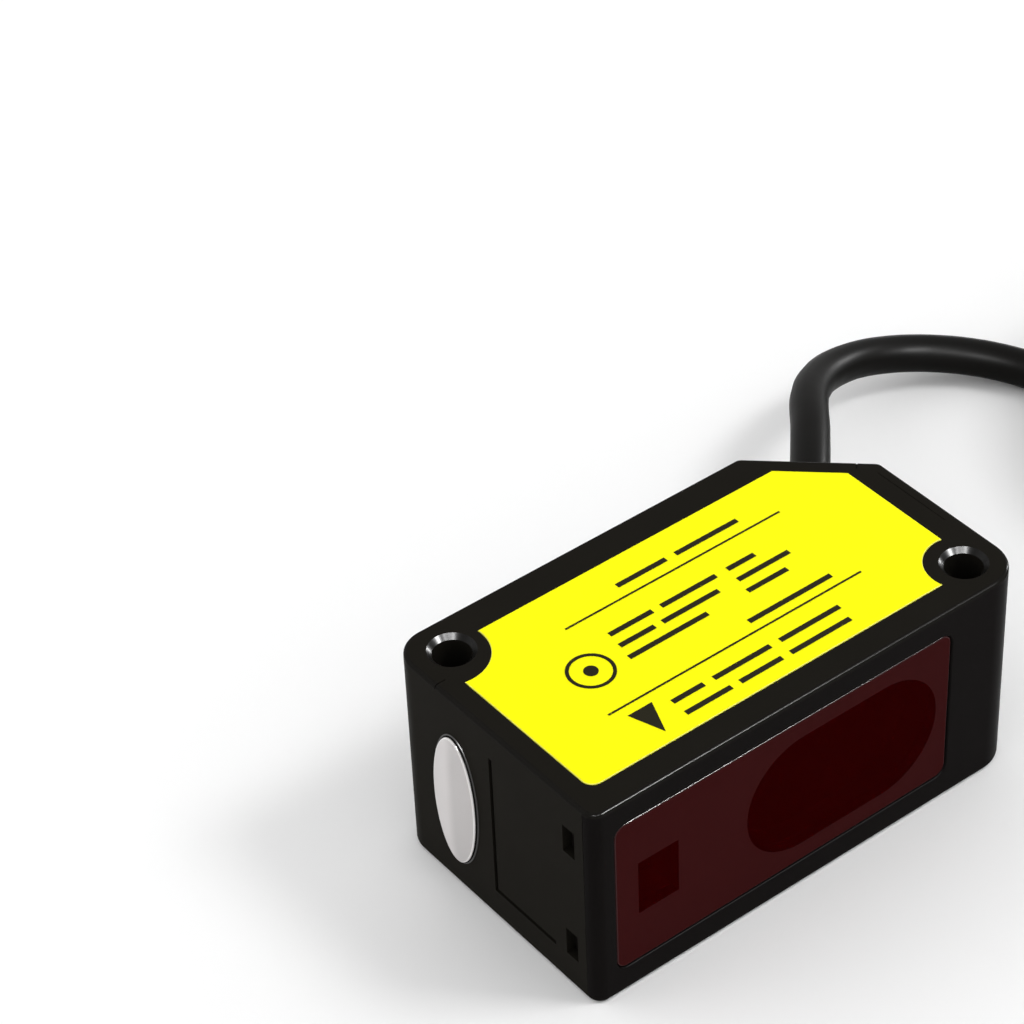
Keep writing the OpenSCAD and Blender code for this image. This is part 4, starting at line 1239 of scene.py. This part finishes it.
    def window_frame(self, piece: Piece) -> None:
        """Cuts the window frame out of the block, with its hooks.

        Args:
            piece: The block.
        """
        Bench.slice_off(piece, (0, self.frame_plane, 0), (0, 1, 0))
        Bench.carve(piece, Bench.slab("pane_way", *self.pane_way, Axis.Y, 1.06))

        def on_opening(a: Vector, b: Vector) -> bool:
            """Tells whether an edge lies on the front rim of the opening."""
            return all(
                abs(v.y + self.width / 2) < CLOSE and -20.2 < v.x < 14.4 and 2.2 < v.z < 17.8
                for v in (a, b)
            )

        Bench.round_edges(piece, on_opening, 0.14, 3)
        Bench.round_edges(piece, self.seam, self.seam_bevel, 1)
        hooks = []
        for z in self.slots:
            hooks += [
                Bench.slab("leg", *Bench.moved(self.hook_leg, z=z), Axis.X, 0.1, 2),
                Bench.slab("barb", *Bench.moved(self.hook_barb, z=z), Axis.Z, 0.15, 3),
            ]
        for z in self.slots:
            hooks.append(Bench.rod("peg", (15.4, -10.8, z), 0.6, 1.0, Axis.Y))
        Bench.join(piece, *hooks)
        Bench.paint_faces(piece, self.on_top, CASE)
        Bench.settle(piece, FRAME, "frame_black", stands_for=("front_bezel",))

    def on_top(self, face: bmesh.types.BMFace) -> bool:
        """Tells whether a face lies in the top of the block."""
        return face.normal.z > 0.99 and face.calc_center_median().z > self.height - 0.1

    def pane(self) -> None:
        """Makes the dark red window: a masked pane, and its two clear openings."""
        front, back = (corner[1] for corner in self.pane_box)
        pane = Bench.slab("masked_pane", *self.pane_box, Axis.Y, 1)
        Bench.round_edges(pane, Bench.level(Axis.Y, front), 0.12, 3, PANE_EDGE)
        openings = []
        for shrink, start, end in ((0.0, -13, -11), (0.01, front, back)):
            boxes = []
            for low, high in (self.beam_way, self.view_way):
                low = (low[0] + shrink, start, low[2] + shrink)
                high = (high[0] - shrink, end, high[2] - shrink)
                boxes.append((low, high))
            openings.append(Bench.block("beam_way", *boxes[0]))
            openings.append(Bench.slab("view_way", *boxes[1], Axis.Y, 5.69, 20))
        Bench.carve(pane, *openings[:2])
        Bench.settle(pane, MASK, "window_red", stands_for=("window",))
        clear = Bench.join(*openings[2:])
        clear.name = "clear_openings"
        Bench.settle(clear, FILTER, "window_red")

    def label_blank(self, name: str, grow: float, top: float) -> Piece:
        """Cuts the label's outline, with its hollows round the holes.

        Args:
            name: The piece's name.
            grow: How far it reaches past the label on every side.
            top: The height of its upper face.

        Returns:
            The new piece.
        """
        (x, y), (far_x, far_y) = self.label_low, self.label_high
        low, high = (x - grow, y - grow, self.label_base), (far_x + grow, far_y + grow, top)
        piece = Bench.block(name, low, high)
        Bench.slice_off(piece, self.slant.inset(1.55 - grow), self.slant.normal)
        Bench.round_edges(piece, self.upright(x - grow, y - grow), 1 + grow, 8)
        for middle, radius in self.label_hollows:
            Bench.carve(piece, Bench.rod("hollow", middle, radius - grow, 6))
        return piece

    def label(self) -> None:
        """Makes the yellow label."""
        label = self.label_blank("label_film_piece", 0, self.label_face)
        Bench.round_edges(label, Bench.level(Axis.Z, self.label_face), 0.04, 1, FILM_EDGE)
        Bench.settle(label, FILM, "label_yellow", stands_for=("label",))


@dataclass
class Indicator:
    """The tall oval indicator lens in the end face."""

    width: float = 5.2
    height: float = 13.0
    place: tuple[float, float] = (4.6, 9.4)
    face: float = -22.32
    dome: float = 0.18
    edge: float = 0.12
    back: float = -20.0
    rings: tuple[float, ...] = (0.95, 0.85, 0.7, 0.52, 0.35, 0.2, 0.1)

    def build(self) -> None:
        """Makes the lens with its rim and shallow dome."""
        y, z = self.place
        w, h = self.width / 2, self.height / 2
        lens = Bench.oval("indicator_dome", (self.face, y - w, z - h), (self.back, y + w, z + h))
        Bench.round_edges(lens, Bench.level(Axis.X, self.face), self.edge, 3)
        with Bench.editing(lens, "FACE"):
            Bench.pick_faces(lens, lambda face: face.normal.x < -0.99 and len(face.verts) > 8)
            last = 1.0
            for share in self.rings:
                rise = self.dome * (last**2 - share**2)
                bpy.ops.mesh.extrude_region_move(TRANSFORM_OT_translate={"value": (-rise, 0, 0)})
                size = (1, share / last, share / last)
                bpy.ops.transform.resize(value=size, center_override=(self.face, y, z))
                last = share
        low = (self.back - 0.5, y - w - 0.5, z - h - 0.5)
        high = (self.back + 0.1, y + w + 0.5, z + h + 0.5)
        flange = Bench.oval("flange", low, high)
        Bench.carve(flange, Bench.rod("boss", (-18.5, 9, 10), 3.1, 40))
        Bench.join(lens, flange)
        # painted highlight: the rounded edge of the lens gets a paler colour
        Bench.paint_faces(lens, self.on_edge, LENS_EDGE_PAINTED_HIGHLIGHT)
        # painted shade: the upright wall of the lens gets a near-black colour
        Bench.paint_faces(lens, self.on_wall, LENS_WALL_PAINTED_SHADE)
        Bench.settle(lens, DIFFUSER, "diffuser_white", stands_for=("indicator_lens",))

    def on_edge(self, face: bmesh.types.BMFace) -> bool:
        """Tells whether a face lies on the rounded edge of the lens."""
        x = face.calc_center_median().x
        return self.face < x < self.face + self.edge and face.normal.x > -0.99

    def on_wall(self, face: bmesh.types.BMFace) -> bool:
        """Tells whether a face lies on the upright wall of the lens."""
        x = face.calc_center_median().x
        return abs(face.normal.x) < 0.2 and self.face + self.edge < x < self.back - 0.6


@dataclass
class Display:
    """The smoked sheet, the print on it, and the three keys."""

    face: float = 12.5
    sheet_box: Box = ((-18.35, 11.7, 0.85), (12.75, 12.5, 17.95))
    key_size: tuple[float, float] = (5.4, 4.05)
    key_height: float = 15.2
    key_bodies: tuple[Body, ...] = (Body.SET_KEY, Body.UP_KEY, Body.DOWN_KEY)
    lamps: tuple[float, float] = (5.175, 11.575)
    lamp_place: float = -12.95
    lamp_half: tuple[float, float] = (1.53, 0.555)
    ink: float = 0.02
    # each printed bar's start, height on the sheet, length and thickness
    bars: tuple[tuple[float, float, float, float], ...] = (
        (-14.1, 3.95, 2.4, 0.5), (-14.1, 12.75, 2.4, 0.5),
        (-9.4, 1.95, 1.8, 0.5), (-4.9, 1.95, 2.4, 0.5), (4.9, 1.95, 1.9, 0.5),
        (9.35, 11.3, 1.2, 0.5), (2.1, 14.3, 1.0, 0.16), (2.1, 16.1, 1.0, 0.16),
    )

    def build(self) -> None:
        """Makes the sheet, its print and the keys."""
        self.sheet()
        self.print_bars()
        for x, body in zip(KEY_PLACES, self.key_bodies):
            self.key(x, body)

    def sheet(self) -> None:
        """Makes the smoked sheet, with its windows for keys and lamps."""
        sheet = Bench.slab("smoked_panel", *self.sheet_box, Axis.Y, 0.55)
        w, h = (s / 2 + 0.1 for s in self.key_size)
        z = self.key_height
        for x in KEY_PLACES:
            low, high = (x - w, 11, z - h), (x + w, 13, z + h)
            Bench.carve(sheet, Bench.slab("way", low, high, Axis.Y, 0.55))
        x = self.lamp_place
        w, h = self.lamp_half
        for z in self.lamps:
            Bench.carve(sheet, Bench.block("way", (x - w, 11, z - h), (x + w, 13, z + h)))
        Bench.round_edges(sheet, Bench.level(Axis.Y, self.face), 0.05, 2)
        Bench.settle(sheet, SMOKED, "panel_smoke", stands_for=("display_panel",))

    def print_bars(self) -> None:
        """Makes the plain printed bars beside lamps, status bars and digits."""
        marks = []
        for x, z, length, height in self.bars:
            low = (x, self.face, z - height / 2)
            high = (x + length, self.face + self.ink, z + height / 2)
            marks.append(Bench.slab("bar", low, high, Axis.Y, 0.07, 2))
        piece = Bench.join(marks[0], *marks[1:])
        piece.name = "panel_print"
        Bench.settle(piece, PANEL_INK, "key_ink")

    def key(self, x: float, body: Body) -> None:
        """Makes one key with its cap and its flange.

        Args:
            x: The middle of the key.
            body: The body that it moves with.
        """
        w, h = (s / 2 for s in self.key_size)
        z = self.key_height
        top = self.face + 0.15
        cap = Bench.slab("cap", (x - w, 10.9, z - h), (x + w, top, z + h), Axis.Y, 0.45)
        Bench.round_edges(cap, Bench.level(Axis.Y, top), 0.16, 3)
        low = (x - w - 0.5, 10.4, z - h - 0.5)
        high = (x + w + 0.5, 10.9, z + h + 0.5)
        flange = Bench.slab("flange", low, high, Axis.Y, 0.3)
        Bench.join(cap, flange)
        cap.name = f"{body.value}_cap"
        node = body.value.replace("_key", "_button")
        Bench.settle(cap, KEY, "key_grey", body, stands_for=(node,))


@dataclass
class Boot:
    """The two-step rubber boot on the chamfer."""

    slant: Slant = Slant()
    middle: float = 10.0
    base_box: Box = ((0, -5.1, 2.5), (0.9, 5.1, 17.5))
    top_box: Box = ((0.8, -4, 4.5), (1.8, 4, 15.5))

    def build(self) -> None:
        """Makes the boot's steps, neck and collar."""
        z = self.middle
        base = Bench.slab("boot_steps", *self.base_box, Axis.X, 1.2)
        Bench.round_edges(base, Bench.level(Axis.X, self.base_box[1][0]), 0.3, 4)
        top = Bench.slab("top", *self.top_box, Axis.X, 1.5)
        Bench.round_edges(top, Bench.level(Axis.X, self.top_box[1][0]), 0.35, 4)
        neck = Bench.rod("neck", (-0.7, 0, z), 2.98, 1.6, Axis.X)
        collar = Bench.rod("collar", (-2, 0, z), 3.7, 1.0, Axis.X)
        boot = Bench.join(base, top, neck, collar)
        self.slant.place(boot)
        Bench.settle(boot, BOOT, "boot_rubber", stands_for=("cable_boot",))


@dataclass
class Works:
    """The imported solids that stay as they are, each with its own finish."""

    finishes: tuple[tuple[Finish, tuple[str, ...]], ...] = (
        (SEAL, ("cover_seal", "window_gasket")),
        (INK, ("label_print",)),
        (CLEAR, ("light_guide",)),
        (LAMP_BODY, ("indicator_led",)),
        (RED_LAMP, ("power_lamp",)),
        (GREEN_LAMP, ("laser_lamp",)),
        (KEY_INK, ("set_mark", "up_mark", "down_mark")),
        (STEM, ("set_plunger", "up_plunger", "down_plunger")),
        (SWITCH, ("key_switches",)),
        (BLOCK, ("display_module",)),
        (SEGMENT, ("display_segments", "status_bars")),
        (BOARD, ("display_board", "main_board", "sensor_board")),
        (CHIP, ("front_header", "rear_header", "processor")),
        (SOCKET, ("cable_connector",)),
        (CHASSIS, ("optics_chassis",)),
        (STEEL, ("chassis_screws", "cable_clamp")),
        (GOLD, ("laser_diode",)),
        (GLASS, ("collimator_lens",)),
        (BRASS, ("lens_ring",)),
        (LENS, ("receiver_lens",)),
        (CHIP_GLASS, ("image_sensor",)),
        (JACKET, ("cable_entry",)),
        (INNER_CORES, ("inner_leads",)),
    )

    def build(self) -> None:
        """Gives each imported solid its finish."""
        for finish, names in self.finishes:
            for name in names:
                finish.dress(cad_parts[name])
                log.info("%s: %s", name, finish.name)


def main() -> None:
    """Builds each sub-assembly in order and reports it."""
    logging.basicConfig(level=logging.INFO, format="%(message)s")
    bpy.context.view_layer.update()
    for part in (Studio(), Cable(), Housing(), Indicator(), Display(), Boot(), Works()):
        part.build()
        log.info("%s is done", type(part).__name__)


if __name__ == "__main__":
    main()
